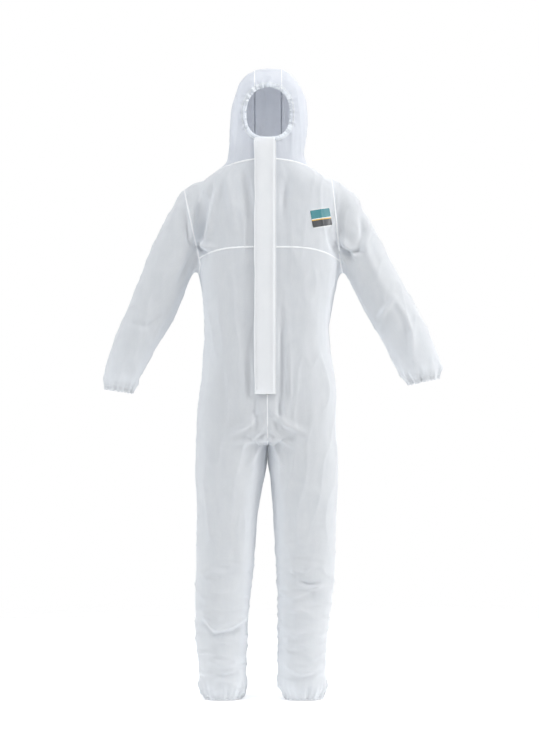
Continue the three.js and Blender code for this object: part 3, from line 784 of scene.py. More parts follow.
def thicken(piece, thickness, offset=-1.0):
    solid = piece.modifiers.new("thickness", "SOLIDIFY")
    solid.thickness = thickness
    solid.offset = offset
    apply_all(piece)
    return piece


def seam_lines(bm, of_face):
    """The sewn lines between panels, each a row of (point, normal)."""
    found = {}
    for e in bm.edges:
        if len(e.link_faces) != 2:
            continue
        pair = tuple(sorted({of_face[f.index] for f in e.link_faces}))
        if len(pair) == 2:
            found.setdefault(pair, []).append(e)
    lines = []
    for pair, edges in sorted(found.items()):
        left = set(edges)
        while left:
            ends = [e for e in left if any(sum(o in left for o in v.link_edges) == 1 for v in e.verts)]
            start = min(ends or left, key=lambda e: e.index)
            vert = next((v for v in start.verts if sum(o in left for o in v.link_edges) == 1), start.verts[0])
            row, edge = [vert], start
            while edge:
                left.discard(edge)
                vert = edge.other_vert(vert)
                row.append(vert)
                edge = next((o for o in vert.link_edges if o in left), None)
            if len(row) > 4:
                lines.append((pair, [(v.co.copy(), v.normal.copy()) for v in row]))
    return lines


def make_panels(form):
    bm = bmesh.new()
    bm.from_mesh(form.data)
    cut_seams(bm)
    small = [v for v in bm.verts if not v.link_faces]
    bmesh.ops.delete(bm, geom=small, context="VERTS")
    bm.normal_update()
    bm.verts.index_update()
    bm.edges.index_update()
    bm.faces.index_update()
    of_face = [panel_of(f.calc_center_median()) for f in bm.faces]
    lines = seam_lines(bm, of_face)
    groups = {}
    for f, name in zip(bm.faces, of_face):
        groups.setdefault(name, []).append(f)
    panels = {}
    for name, faces in sorted(groups.items()):
        order = {}
        rows = [[order.setdefault(v.index, len(order)) for v in f.verts] for f in faces]
        verts = [None] * len(order)
        for f in faces:
            for v in f.verts:
                verts[order[v.index]] = v.co
        # Hood panels get the copy with painted shade; all other panels get the plain cloth.
        finish = HOOD_PAINTED_SHADE_CLOTH if name.startswith("hood") else CLOTH
        panels[name] = new_piece(f"cloth_{name}", verts, rows, finish)
        panels[name]["flat_area"] = sum(f.calc_area() for f in faces)
    bm.free()
    bpy.data.objects.remove(form)
    return panels, lines


cloth = BVHTree.FromPolygons([v.co.copy() for v in suit.data.vertices],
                             [tuple(f.vertices) for f in suit.data.polygons])
panels, seams = make_panels(suit)
SLEEVE_BEND = {  # a way along each sleeve from its armhole, and where its armhole seam lies along it
    "right": (Vector((-1, 0, -.45)).normalized(), .052),
    "left": (Vector((1, 0, -.45)).normalized(), .058),
}
SLEEVE_BEND_LONG = .100
for name, panel in panels.items():
    del panel["flat_area"]
    thicken(panel, CLOTH_THICK)
    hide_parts(name)
    if name.startswith("hood"):
        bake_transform(panel)
    elif name.startswith("sleeve"):
        side = name.split("_")[1]
        at, (along, clear_of_seam) = ARMHOLE[side][0], SLEEVE_BEND[side]
        start = at + along * clear_of_seam
        start + along * SLEEVE_BEND_LONG
        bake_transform(panel)
    else:
        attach(panel, "suit_body")


# ---------------------------------------------------------------------------
# Seams. Each join is overlocked and turned, and shows outside as one narrow
# raised ridge of doubled cloth with the thread's bite across it.
# ---------------------------------------------------------------------------
def ridge_cloth():
    made, shader, place = finish_of("seam_ridge", Sheen_Weight=0.1, Specular_IOR_Level=0.35)
    stitches = place.node("ShaderNodeTexWave", {"wave_type": "BANDS", "bands_direction": "DIAGONAL"},
                          {"Vector": place, "Scale": 190.0, "Distortion": 0.6, "Detail": 1.0})
    fibres = place.node("ShaderNodeTexNoise", None, {"Vector": place, "Scale": 700.0, "Detail": 3.0})
    colour = place.mixed(stitches * 0.5 + fibres * 0.4, (.86, .875, .895, 1), (.93, .94, .955, 1))
    rough = 0.55 + fibres * 0.2
    feed(shader, Base_Color=colour, Roughness=rough,
         Normal=place.bump(stitches * 0.8 + fibres * 0.3, 0.5, 0.0004))
    return made


RIDGE = ridge_cloth()
FLAP_CLOTH = nonwoven("nonwoven_doubled", light=(.90, .915, .935), shade=(.82, .845, .875))


def even_row(row, spacing):
    """The line resampled to even steps and eased, with its normals."""
    points = np.array([p for p, _ in row])
    normals = np.array([n for _, n in row])
    gaps = np.linalg.norm(np.diff(points, axis=0), axis=1)
    along = np.concatenate([[0], np.cumsum(gaps)])
    count = max(int(along[-1] / spacing), 4)
    at = np.linspace(0, along[-1], count)
    points = np.stack([np.interp(at, along, points[:, k]) for k in range(3)], 1)
    normals = np.stack([np.interp(at, along, normals[:, k]) for k in range(3)], 1)
    for _ in range(3):
        points[1:-1] = (points[:-2] + 2 * points[1:-1] + points[2:]) / 4
        normals[1:-1] = (normals[:-2] + 2 * normals[1:-1] + normals[2:]) / 4
    return points, normals / np.linalg.norm(normals, axis=1, keepdims=True)


def ridge(name, rows, width, height, material, slot, sink=0.0004, spacing=0.004):
    """Low rounded strips that lie on the cloth along the given lines."""
    section = [(-.5, 0), (-.42, .55), (-.2, .92), (0, 1), (.2, .92), (.42, .55), (.5, 0)]
    verts, faces = [], []
    for row in rows:
        points, normals = even_row(row, spacing)
        ahead = np.gradient(points, axis=0)
        ahead /= np.linalg.norm(ahead, axis=1, keepdims=True)
        beside = np.cross(ahead, normals)
        beside /= np.linalg.norm(beside, axis=1, keepdims=True)
        first = len(verts)
        n = len(section)
        for i, (p, s, o) in enumerate(zip(points, beside, normals)):
            swell = 1 + .12 * math.sin(i * 1.7) * math.sin(i * .31 + 1)
            verts += [p + s * (a * width * swell) + o * (b * height - sink) for a, b in section]
            if i:
                base = first + (i - 1) * n
                faces += [(base + k, base + k + 1, base + n + k + 1, base + n + k) for k in range(n - 1)]
                faces.append((base + n - 1, base, base + n, base + 2 * n - 1))
        last = first + (len(points) - 1) * n
        faces += [tuple(range(first, first + n))[::-1], tuple(range(last, last + n))]
    return new_piece(name, verts, faces, material)


def seam_name(pair):
    kinds = {p.rsplit("_", 1)[0] if p.endswith(("left", "right")) else p for p in pair}
    sides = {p.rsplit("_", 1)[1] for p in pair if p.endswith(("left", "right"))}
    if any(k.startswith("sleeve") for k in kinds):
        return "armhole_seam_" + min(p.rsplit("_", 1)[1] for p in pair if p.startswith("sleeve"))
    if all(k.startswith("hood") for k in kinds):
        return "hood_seams"
    if any(k.startswith("hood") for k in kinds):
        return "neck_seam"
    if kinds == {"yoke_front", "front_panel"}:
        return "cross_seam_" + min(sides)
    if kinds == {"front_panel"}:
        return "centre_front_seam"
    if kinds == {"back_panel"}:
        return "centre_back_seam"
    return "side_seam_" + min(sides)


SEAM_SIZE = {"neck_seam": (.0052, .0017), "cross": (.0052, .0016), "armhole": (.0050, .0016),
             "hood": (.0036, .0012), "centre": (.0036, .0012), "side": (.0036, .0012)}
by_seam = {}
for pair, row in seams:
    by_seam.setdefault(seam_name(pair), []).append(row)
for name, rows in sorted(by_seam.items()):
    size = SEAM_SIZE.get(name) or SEAM_SIZE[name.split("_")[0]]
    strip = ridge(name, rows, *size, RIDGE, "nonwoven")
    if name == "hood_seams":
        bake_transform(strip)
    else:
        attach(strip, "suit_body")


# ---------------------------------------------------------------------------
# Cuffs, ankle hems and waist. A flat knitted elastic is sewn in just inside
# each edge, the edge itself is rolled, and a row of stitches holds the elastic.
# ---------------------------------------------------------------------------
def knitted_elastic():
    made, shader, place = finish_of("knitted_elastic", Sheen_Weight=0.2, Specular_IOR_Level=0.3)
    ribs = place.node("ShaderNodeTexWave", {"wave_type": "BANDS", "bands_direction": "Z"},
                      {"Vector": place, "Scale": 210.0, "Distortion": 1.2, "Detail": 2.0,
                       "Detail Scale": 3.0})
    loops = place.node("ShaderNodeTexVoronoi", {"feature": "F1"}, {"Vector": place, "Scale": 950.0})
    colour = place.mixed(ribs * 0.7 + loops * 0.3, (.72, .72, .71, 1), (.90, .90, .89, 1))
    rough = 0.6 + loops * 0.25
    feed(shader, Base_Color=colour, Roughness=rough,
         Normal=place.bump(ribs + loops * 0.4, 0.6, 0.0005))
    return made


def sewing_thread():
    made, shader, place = finish_of("sewing_thread", Sheen_Weight=0.3, Specular_IOR_Level=0.4)
    twist = place.node("ShaderNodeTexWave", {"wave_type": "BANDS", "bands_direction": "DIAGONAL"},
                       {"Vector": place, "Scale": 1400.0, "Distortion": 0.5})
    colour = place.mixed(twist, (.80, .815, .84, 1), (.95, .955, .96, 1))
    feed(shader, Base_Color=colour, Roughness=0.45 + twist * 0.2,
         Normal=place.bump(twist, 0.5, 0.0002))
    return made


ELASTIC = knitted_elastic()
THREAD = sewing_thread()


def ring_on_cloth(centre, along, offset, lift, count=120, spread=(0, 2 * math.pi), ease_rounds=2):
    """Points round a tube of cloth, at an offset along its axis, with their outward normals."""
    along = Vector(along).normalized()
    side = Vector((0, 1, 0)).cross(along).normalized()
    ahead = along.cross(side)
    middle = Vector(centre) + along * offset
    reach, ways = [], []
    closed = spread[1] - spread[0] > 6.2
    for a in np.linspace(*spread, count, endpoint=not closed):
        way = side * math.cos(a) + ahead * math.sin(a)
        hit, _, _, gap = cloth.ray_cast(middle, way, 0.3)
        reach.append(gap if hit is not None else (reach[-1] if reach else .05))
        ways.append(way)
    reach = np.array(reach)
    for _ in range(ease_rounds):
        before, after = np.roll(reach, 1), np.roll(reach, -1)
        if not closed:
            before[0], after[-1] = reach[0], reach[-1]
        reach = (before + 2 * reach + after) / 4
    row = [(middle + way * (r + lift), way) for r, way in zip(reach, ways)]
    return row + row[:1] if closed else row


def strap(name, rows, thickness, material):
    """A flat strap through rows of (point, outward normal), closed all round."""
    verts, faces = [], []
    count = len(rows[0])
    for row in rows:
        verts += [p for p, _ in row]
    for row in rows:
        verts += [p - n * thickness for p, n in row]
    deep = len(rows) * count
    for r in range(len(rows) - 1):
        for k in range(count - 1):
            a, b = r * count + k, (r + 1) * count + k
            faces.append((a, a + 1, b + 1, b))
            faces.append((deep + b, deep + b + 1, deep + a + 1, deep + a))
    last = (len(rows) - 1) * count
    for k in range(count - 1):
        faces.append((k + 1, k, deep + k, deep + k + 1))
        faces.append((last + k, last + k + 1, deep + last + k + 1, deep + last + k))
    for k in (0, count - 1):
        side = [r * count + k for r in range(len(rows))]
        loop = side + [deep + v for v in reversed(side)]
        faces.append(tuple(loop) if k == 0 else tuple(reversed(loop)))
    piece = new_piece(name, verts, faces, material)
    bm = bmesh.new()
    bm.from_mesh(piece.data)
    bmesh.ops.remove_doubles(bm, verts=bm.verts, dist=1e-6)
    shared = [f for f in bm.faces if all(len(e.link_faces) > 2 for e in f.edges) or f.calc_area() < 1e-12]
    bmesh.ops.delete(bm, geom=shared, context="FACES_ONLY")
    bmesh.ops.recalc_face_normals(bm, faces=bm.faces)
    bm.to_mesh(piece.data)
    bm.free()
    return piece


def stitches(name, rows, length=.0030, gap=.0012, thick=.00042, slot="nonwoven"):
    """Rows of lockstitch: short rounded bars of thread that sink in at both ends."""
    verts, faces = [], []
    for row in rows:
        points, normals = even_row(row, length + gap)
        for a, b, n in zip(points, points[1:], normals):
            step = b - a
            ahead = step / np.linalg.norm(step)
            beside = np.cross(ahead, n)
            tip = a + ahead * length
            first = len(verts)
            for at, rise in ((a, -.4), (a + ahead * length * .22, .55), (tip - ahead * length * .22, .55),
                             (tip, -.4)):
                verts += [at + n * (rise + .9 * math.sin(t)) * thick + beside * math.cos(t) * thick
                          for t in (0, math.pi / 2, math.pi, 3 * math.pi / 2)]
            for r in range(3):
                for k in range(4):
                    o = first + 4 * r
                    faces.append((o + k, o + (k + 1) % 4, o + 4 + (k + 1) % 4, o + 4 + k))
            faces += [tuple(first + k for k in (3, 2, 1, 0)), tuple(first + 12 + k for k in range(4))]
    return new_piece(name, verts, faces, THREAD)


def edge_roll(name, row, width=.0022, height=.0012):
    return ridge(name, [row], width, height, RIDGE, "nonwoven", sink=.0007, spacing=.003)


def drawn_edge(kind, joint, side, body, centre, along, roll_count, stitch_count):
    """An elastic band, a rolled edge and a stitch row round the end of a tube of cloth."""
    band = strap(f"{joint}_elastic_band_{side}",
                 [ring_on_cloth(centre, along, d, -.0022) for d in (.003, .006, .009, .0115)],
                 .0009, ELASTIC)
    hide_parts(f"{joint}_elastic_{side}")
    roll = edge_roll(f"{kind}_edge_{side}",
                     ring_on_cloth(centre, along, .0016, .0, roll_count, ease_rounds=0))
    line = stitches(f"{kind}_stitches_{side}",
                    [ring_on_cloth(centre, along, .0125, .0003, stitch_count, ease_rounds=0)])
    for piece in (band, roll, line):
        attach(piece, body)


for side, (point, out) in CUFF.items():
    drawn_edge("cuff", "wrist", side, f"sleeve_{side}", point, -out, 120, 160)
for side, x in (("right", -.123), ("left", .099)):
    drawn_edge("ankle", "ankle", side, "suit_body", (x, -.003, HEM), (0, 0, 1), 150, 180)

WAIST_RAYS = (.22, math.pi - .22)


def waist_row(height, lift, count=110, keep=.130):
    row = ring_on_cloth((0, 0, up(height)), (0, 0, 1), 0, lift, count, WAIST_RAYS, 1)
    return [pair for pair in row if abs(pair[0].x) < keep]


def waist_band():
    """The waist elastic follows one line round the back, and keeps its own width."""
    line = waist_row(WAIST, -.0026)
    rows = [[(p + Vector((0, 0, d)), n) for p, n in line] for d in (-.009, -.0045, 0, .0045, .009)]
    return strap("waist_elastic_band", rows, .001, ELASTIC)


waist = waist_band()
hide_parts("waist_elastic")
waist_lines = stitches("waist_stitches", [waist_row(h, .0004, 130, .136) for h in (1.005, 1.027)])
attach(waist, "suit_body")
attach(waist_lines, "suit_body")


# ---------------------------------------------------------------------------
# Face hem. The hood's rim is folded over a narrow elastic, which draws the
# cloth into close pleats round the face, fewest under the chin.
# ---------------------------------------------------------------------------
def rim_depth(outline):
    """Where the hood's cloth lies behind each point of the rim."""
    depth = []
    for x, z in outline:
        hit = cloth.ray_cast(Vector((x, -.5, z)), Vector((0, 1, 0)), .48)[0]
        depth.append(hit.y if hit is not None else np.nan)
    depth = np.array(depth)
    good = np.flatnonzero(~np.isnan(depth))
    depth = np.interp(np.arange(len(depth)), good, depth[good], period=len(depth))
    for _ in range(6):
        depth = (np.roll(depth, 1) + 2 * depth + np.roll(depth, -1)) / 4
    return depth


FORWARD = Vector((0, -1, 0))
HEM_SECTION = [(-.0010, .0000), (-.0006, -.0016), (.0012, -.0027), (.0040, -.0031), (.0068, -.0029),
               (.0092, -.0022), (.0104, -.0008), (.0112, -.0014), (.0126, -.0012), (.0134, .0000),
               (.0128, .0008), (.0090, .0018), (.0040, .0022), (.0002, .0016)]


def face_hem(count=560):
    rings = [face_outline(grow, count) for grow in (0.0, 0.010)]
    outward = rings[1] - rings[0]
    outward /= np.linalg.norm(outward, axis=1, keepdims=True)
    depth = rim_depth(face_outline(.013, count))
    angle = np.linspace(0, 2 * math.pi, count, endpoint=False)
    chin = np.exp(-(np.minimum(angle, 2 * math.pi - angle) / .62) ** 2)
    draw = (1 - .8 * chin) * (.85 + .25 * np.sin(angle * 2 + 1))
    pleats = np.sin(41 * angle + 2.2 * np.sin(3 * angle) + 1.3 * np.sin(7 * angle))
    small = np.sin(67 * angle + 2.6 * np.sin(5 * angle) + .8)
    verts, faces = [], []
    n = len(HEM_SECTION)
    for i in range(count):
        pull = draw[i] * (.00085 * pleats[i] + .0004 * small[i])
        for j, (grow, y) in enumerate(HEM_SECTION):
            edge = 1 - math.exp(-((grow - .011) / .0022) ** 2)
            fullness = 1 + draw[i] * .30 * pleats[i] * edge
            x, z = rings[0][i] + outward[i] * (grow + .5 * pull)
            verts.append((x, depth[i] - .0004 + y * fullness + pull * (y < 0) * edge, z))
        for j in range(n):
            a, b = i * n + j, ((i + 1) % count) * n + j
            nj = (j + 1) % n
            faces.append((a, b, ((i + 1) % count) * n + nj, i * n + nj))
    hem = new_piece("face_hem", verts, faces, CLOTH)
    bm = bmesh.new()
    bm.from_mesh(hem.data)
    bmesh.ops.recalc_face_normals(bm, faces=bm.faces)
    bm.to_mesh(hem.data)
    bm.free()
    outline = face_outline(.0104, count)
    row = [(Vector((x, y - .0016, z)), FORWARD) for (x, z), y in zip(outline, depth)]
    inner = []
    for grow in (.0022, .0050, .0078):
        inner.append([(Vector((x, y + .0004, z)), FORWARD)
                      for (x, z), y in zip(face_outline(grow, count), depth)])
    inner = [r + r[:1] for r in inner]
    return hem, stitches("face_hem_stitches", [row + row[:1]], .0026, .0012, .0004), strap(
        "face_elastic_band", inner, .0009, ELASTIC)


face_rim, rim_line, rim_elastic = face_hem()
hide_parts("hood_face_hem")
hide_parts("hood_face_elastic")
for piece in (face_rim, rim_line, rim_elastic):
    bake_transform(piece)


# ---------------------------------------------------------------------------
# Zip. Two woven tapes sewn to the front edges, each with a nylon coil; crimped
# stops at both ends, and a white enamelled slider with a long tab.
# ---------------------------------------------------------------------------
TILT = math.atan2(FRONT_HIGH_Y - FRONT_LOW_Y, ZIP_HIGH - ZIP_LOW)
ZIP_LENGTH = math.hypot(FRONT_HIGH_Y - FRONT_LOW_Y, ZIP_HIGH - ZIP_LOW)


def on_front(x, y, z):
    """A place on the leaning front: across, out of it (below zero), and up along it."""
    return Vector((x, FRONT_LOW_Y + y * math.cos(TILT) + z * math.sin(TILT),
                   ZIP_LOW - y * math.sin(TILT) + z * math.cos(TILT)))


def woven_tape():
    made, shader, place = finish_of("woven_tape", Sheen_Weight=0.25, Specular_IOR_Level=0.35)
    warp = place.node("ShaderNodeTexWave", {"wave_type": "BANDS", "bands_direction": "X"},
                      {"Vector": place, "Scale": 420.0})
    weft = place.node("ShaderNodeTexWave", {"wave_type": "BANDS", "bands_direction": "Z"},
                      {"Vector": place, "Scale": 420.0})
    weave = warp * weft
    colour = place.mixed(weave, (.74, .755, .775, 1), (.90, .91, .92, 1))
    feed(shader, Base_Color=colour, Roughness=0.55 + weave * 0.25,
         Normal=place.bump(warp * 0.5 + weft * 0.5, 0.6, 0.0004))
    return made


def nylon():
    made, shader, place = finish_of(
        "coil_nylon", Specular_IOR_Level=0.5, Subsurface_Weight=0.1, Subsurface_Scale=0.001)
    drawn = place.node("ShaderNodeTexNoise", None, {"Vector": place, "Scale": 600.0, "Detail": 2.0})
    colour = place.mixed(drawn, (.84, .855, .87, 1), (.93, .94, .945, 1))
    feed(shader, Base_Color=colour, Roughness=0.28 + drawn * 0.2,
         Normal=place.bump(drawn, 0.15, 0.0002))
    return made


def enamel():
    made, shader, place = finish_of("white_enamel", Coat_Roughness=0.15, Specular_IOR_Level=0.5)
    mottle = place.node("ShaderNodeTexNoise", None, {"Vector": place, "Scale": 260.0, "Detail": 3.0})
    worn = place.node("ShaderNodeMapRange", None, {0: mottle, 1: 0.66, 2: 0.74, 3: 0.0, 4: 1.0})
    colour = place.mixed(worn, (.88, .89, .90, 1), (.70, .71, .72, 1))
    feed(shader, Base_Color=colour, Roughness=0.25 + mottle * 0.2 + worn * 0.15,
         Coat_Weight=0.5 - worn * 0.4, Normal=place.bump(mottle, 0.12, 0.0003))
    return made


def crimped_metal():
    made, shader, place = finish_of("crimped_aluminium", Specular_IOR_Level=0.5)
    rolled = place.node("ShaderNodeMapping", None, {"Vector": place, "Scale": (1, 1, 6)})
    brushed = place.node("ShaderNodeTexNoise", None, {"Vector": rolled, "Scale": 900.0, "Detail": 3.0})
    colour = place.mixed(brushed, (.58, .57, .54, 1), (.76, .755, .73, 1))
    feed(shader, Base_Color=colour, Roughness=0.3 + brushed * 0.25,
         Metallic=0.85 + brushed * 0.1, Normal=place.bump(brushed, 0.2, 0.0002))
    return made


TAPE, NYLON, ENAMEL, METAL = woven_tape(), nylon(), enamel(), crimped_metal()


def zip_tape(side, sign):
    """A flat tape with a corded selvedge, waving a little where it is sewn."""
    count = 180
    across = [.0012, .0020, .0045, .0075, .0105, .0130, .0142]
    proud = [.0000, .0000, .0001, .0000, .0001, .0003, .0000]
    rows = []
    for x, rise in zip(across, proud):
        rows.append([(on_front(sign * x, -.0009 - rise, ZIP_LENGTH * k / (count - 1)), FORWARD)
                     for k in range(count)])
    return strap(f"zip_tape_weave_{side}", rows, .0006, TAPE)


def coil(side, sign, pitch=.0018, wire=.00030):
    """One nylon wire wound into even loops along the tape's inner edge."""
    middle_x, half_x, half_y = sign * .00195, .00105, .00055
    turns = int((ZIP_LENGTH - .0095) / pitch)
    per = 9
    steps = turns * per
    angle = np.arange(steps) * 2 * math.pi / per
    centre = np.stack([middle_x + half_x * np.cos(angle) * sign, -.0020 + half_y * np.sin(angle),
                       .005 + np.arange(steps) * pitch / per], 1)
    out = np.stack([np.cos(angle) * sign, np.sin(angle), 0 * angle], 1)
    verts, faces = [], []
    for c, o in zip(centre, out):
        for t in (0, 2 * math.pi / 5, 4 * math.pi / 5, 6 * math.pi / 5, 8 * math.pi / 5):
            q = c + wire * (o * math.cos(t) + np.array([0, 0, 1]) * math.sin(t))
            verts.append(on_front(*q))
    for i in range(steps - 1):
        faces += [(5 * i + k, 5 * i + (k + 1) % 5, 5 * i + 5 + (k + 1) % 5, 5 * i + 5 + k) for k in range(5)]
    faces += [(4, 3, 2, 1, 0), tuple(5 * (steps - 1) + k for k in range(5))]
    return new_piece(f"zip_coil_loops_{side}", verts, faces, NYLON)


def plate(name, outline, y_low, y_high, material, bevel=.0003):
    """A flat part cut to an outline of (x, z), with rounded edges."""
    bm = bmesh.new()
    loop = [bm.verts.new((x, y_low, z)) for x, z in outline]
    face = bm.faces.new(loop)
    made = bmesh.ops.extrude_face_region(bm, geom=[face])
    for v in made["geom"]:
        if isinstance(v, bmesh.types.BMVert):
            v.co.y = y_high
    bmesh.ops.recalc_face_normals(bm, faces=bm.faces)
    bmesh.ops.bevel(bm, geom=[e for e in bm.edges if e.calc_face_angle(0) > .7], offset=bevel, segments=2,
                    affect="EDGES", profile=.5)
    for v in bm.verts:
        v.co = on_front(*v.co)
    mesh = bpy.data.meshes.new(name)
    bm.to_mesh(mesh)
    bm.free()
    mesh.materials.append(material)
    mesh.polygons.foreach_set("use_smooth", [True] * len(mesh.polygons))
    piece = bpy.data.objects.new(name, mesh)
    bpy.context.collection.objects.link(piece)
    return piece


def rounded(half_x, low, high, corner, taper=0.0, steps=6):
    """A rounded rectangle, its low end narrower by the taper."""
    points = []
    for cx, cz, start in ((1, 1, 0), (-1, 1, 90), (-1, -1, 180), (1, -1, 270)):
        for k in range(steps + 1):
            a = math.radians(start + 90 * k / steps)
            wide = half_x - (taper if cz < 0 else 0)
            x = cx * (wide - corner) + corner * math.cos(a)
            z = (high - corner if cz > 0 else low + corner) + corner * math.sin(a)
            points.append((x, z))
    return points


def joined(name, parts):
    with bpy.context.temp_override(active_object=parts[0], selected_editable_objects=parts):
        bpy.ops.object.join()
    parts[0].name = name
    return parts[0]


SLIDER_TOP = ZIP_LENGTH - .008
for side, sign in (("right", -1), ("left", 1)):
    tape, loops = zip_tape(side, sign), coil(side, sign)
    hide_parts(f"zip_tape_{side}")
    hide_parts(f"zip_coil_{side}")
    crimp_outline = rounded(.0016, ZIP_LENGTH - .0036, ZIP_LENGTH - .0006, .0007)
    crimp = plate(f"zip_top_crimp_{side}", [(x + sign * .0023, z) for x, z in crimp_outline],
                  -.0031, -.0009, METAL)
    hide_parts(f"zip_top_stop_{side}")
    tack = stitches(f"zip_stitches_{side}", [[(on_front(sign * .0112, -.00095, ZIP_LENGTH * k / 160),
                                               FORWARD) for k in range(161)]], slot="zip_tape")
    for piece in (tape, loops, crimp, tack):
        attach(piece, "suit_body")
crimp = plate("zip_bottom_crimp", rounded(.0048, .0002, .0040, .0010), -.0031, -.0010, METAL)
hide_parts("zip_bottom_stop")
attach(crimp, "suit_body")


def zip_slider():
    low, high = SLIDER_TOP - .014, SLIDER_TOP
    parts = [
        plate("slider_face", rounded(.0050, low, high, .0022, taper=.0009), -.0043, -.0031, ENAMEL,
              .00045),
        plate("slider_back", rounded(.0050, low, high, .0022, taper=.0009), .0000, .0012, ENAMEL,
              .0004),
        plate("slider_wedge", rounded(.0004, high - .0045, high - .0005, .0003), -.0032, .0002, ENAMEL,
              .0001),
    ]
    cheek = rounded(.0006, low + .001, high - .002, .0004)
    for s in (-1, 1):
        parts.append(plate("slider_cheek", [(x + s * .0044, z) for x, z in cheek], -.0034, -.0013, ENAMEL,
                           .0002))
    bridge = []
    for k in range(13):
        a = math.pi * k / 12
        bridge.append((on_front(0, -.0042 - .0026 * math.sin(a), SLIDER_TOP - .005 - .0032 * math.cos(a)),
                       Vector((1, 0, 0))))
    arch = ridge("slider_bridge", [bridge], .0011, .0016, ENAMEL, "zip_slider", sink=.0008, spacing=.0006)
    return joined("zip_slider_body", parts + [arch])


def zip_tab():
    """The long tab: a waist below its eye, and three grip bars."""
    pin = SLIDER_TOP - .005
    outline = []
    for k in range(13):
        a = math.pi * k / 12
        outline.append((.0024 * math.cos(a), pin + .0002 + .0024 * math.sin(a)))
    outline += [(-.0019, pin - .006), (-.0026, pin - .012), (-.0030, pin - .020), (-.0030, pin - .0272)]
    for k in range(1, 12):
        a = math.pi + math.pi * k / 12
        outline.append((.0030 * math.cos(a), pin - .0270 + .0030 * math.sin(a)))
    outline += [(.0030, pin - .0272), (.0030, pin - .020), (.0026, pin - .012), (.0019, pin - .006)]
    body = plate("tab_body", outline, -.0057, -.0047, ENAMEL, .0003)
    bars = [plate("tab_bar", rounded(.0019, pin - d - .0006, pin - d + .0006, .0005), -.0060, -.0055, ENAMEL,
                  .00015) for d in (.0215, .0238, .0261)]
    return joined("zip_pull_tab", [body, *bars])


slider, tab = zip_slider(), zip_tab()
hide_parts("zip_slider")
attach(slider, "zip_slider")
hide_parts("zip_pull")
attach(tab, "zip_pull")


# ---------------------------------------------------------------------------
# Storm flap. A doubled strip of the same cloth, sewn beside the zip on the
# wearer's left, folded over it, and stitched along both its edges.
# ---------------------------------------------------------------------------
FLAP_FREE, FLAP_HINGE = -.0365, .0160
FLAP_THICK = .0013
LEAF_Y = -.0079  # how far the middle of the leaf stands off the front


def leaf_wave(x, z):
    """How far the leaf bends out of its plane: soft waves, most at its free edge."""
    share = (FLAP_HINGE - x) / (FLAP_HINGE - FLAP_FREE)
    slow = noise.noise(Vector((x * 12, 3.1, z * 7))) * .0014
    fast = noise.noise(Vector((x * 25, 8.4, z * 26))) * .0006
    return (slow + fast) * min(1, share * 1.4)


def leaf_edge(z):
    return FLAP_FREE + .0007 * math.sin(z * 23 + 1) + .0005 * math.sin(z * 61)


def flap_section(z):
    """The middle of the cloth from the free edge to the sewn foot, as (x, y)."""
    edge = leaf_edge(z)
    edge += .006 * (1 - math.sqrt(max(0, 1 - max(0, 1 - (ZIP_LENGTH - z) / .010) ** 2)))
    flat = [(edge + (FLAP_HINGE - edge) * t) for t in np.linspace(0, 1, 25)]
    points = [(x, LEAF_Y + leaf_wave(x, z)) for x in flat]
    for k in range(1, 9):
        a = -math.pi / 2 + math.pi * k / 8
        points.append((FLAP_HINGE + .0034 * math.cos(a) * .9, -.0046 + .0033 * math.sin(a)))
    return points


def storm_flap():
    rows = []
    for z in np.linspace(.0008, ZIP_LENGTH - .0008, 300):
        rows.append([on_front(x, y, z) for x, y in flap_section(z)])
    wide = len(rows[0])
    verts = [p for row in rows for p in row]
    faces = [(r * wide + k, r * wide + k + 1, (r + 1) * wide + k + 1, (r + 1) * wide + k)
             for r in range(len(rows) - 1) for k in range(wide - 1)]
    flap = new_piece("storm_flap_leaf", verts, faces, FLAP_CLOTH)
    thicken(flap, FLAP_THICK, offset=0)
    return flap


def flap_line(inset_from_edge=None, x=None, lift=.0009):
    row = []
    for z in np.linspace(.009, ZIP_LENGTH - .009, 240):
        at = leaf_edge(z) + inset_from_edge if inset_from_edge is not None else x
        row.append((on_front(at, LEAF_Y + leaf_wave(at, z) - lift, z), FORWARD))
    return row


flap = storm_flap()
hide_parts("storm_flap", "storm_flap_root")
FLAP_BEND = {"start": on_front(0, -.0016, .35), "end": on_front(0, -.0062, .35)}
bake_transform(flap)
flap_seams = stitches("flap_stitches", [flap_line(inset_from_edge=.0045), flap_line(inset_from_edge=.0075),
                                        flap_line(x=.0125, lift=.0004), flap_line(x=.0095, lift=.0004)])
flap_edges = ridge("flap_edge_roll", [flap_line(inset_from_edge=.0014, lift=.0004)], .0026, .0009, RIDGE,
                   "nonwoven", sink=.0002)
for piece in (flap_seams, flap_edges):
    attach(piece, "storm_flap")

FOOT_SECTION = ((.0150, -.0009), (.0156, -.0015), (.0190, -.0015), (.0232, -.0013), (.0240, -.0004))
foot_rows = [[(on_front(x, y, z), FORWARD) for z in np.linspace(.0005, ZIP_LENGTH - .0005, 220)]
             for x, y in FOOT_SECTION]
foot = strap("flap_sewn_foot", foot_rows, CLOTH_THICK, FLAP_CLOTH)
foot_seams = stitches("flap_foot_stitches", [[(on_front(.0215, -.0014, z), FORWARD)
                                              for z in np.linspace(.003, ZIP_LENGTH - .003, 220)]])
for piece in (foot, foot_seams):
    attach(piece, "suit_body")


# ---------------------------------------------------------------------------
# Flap tape. Double-sided adhesive along the inside of the free edge, still
# under its peel-off paper, for sealing the flap down over the zip.
# ---------------------------------------------------------------------------
def adhesive():
    made, shader, place = finish_of("clear_adhesive", Specular_IOR_Level=0.5)
    flow = place.node("ShaderNodeTexNoise", None, {"Vector": place, "Scale": 150.0, "Detail": 3.0})
    colour = place.mixed(flow, (.72, .69, .58, 1), (.84, .82, .73, 1))
    feed(shader, Base_Color=colour, Roughness=0.12 + flow * 0.2,
         Normal=place.bump(flow, 0.3, 0.0003))
    return made


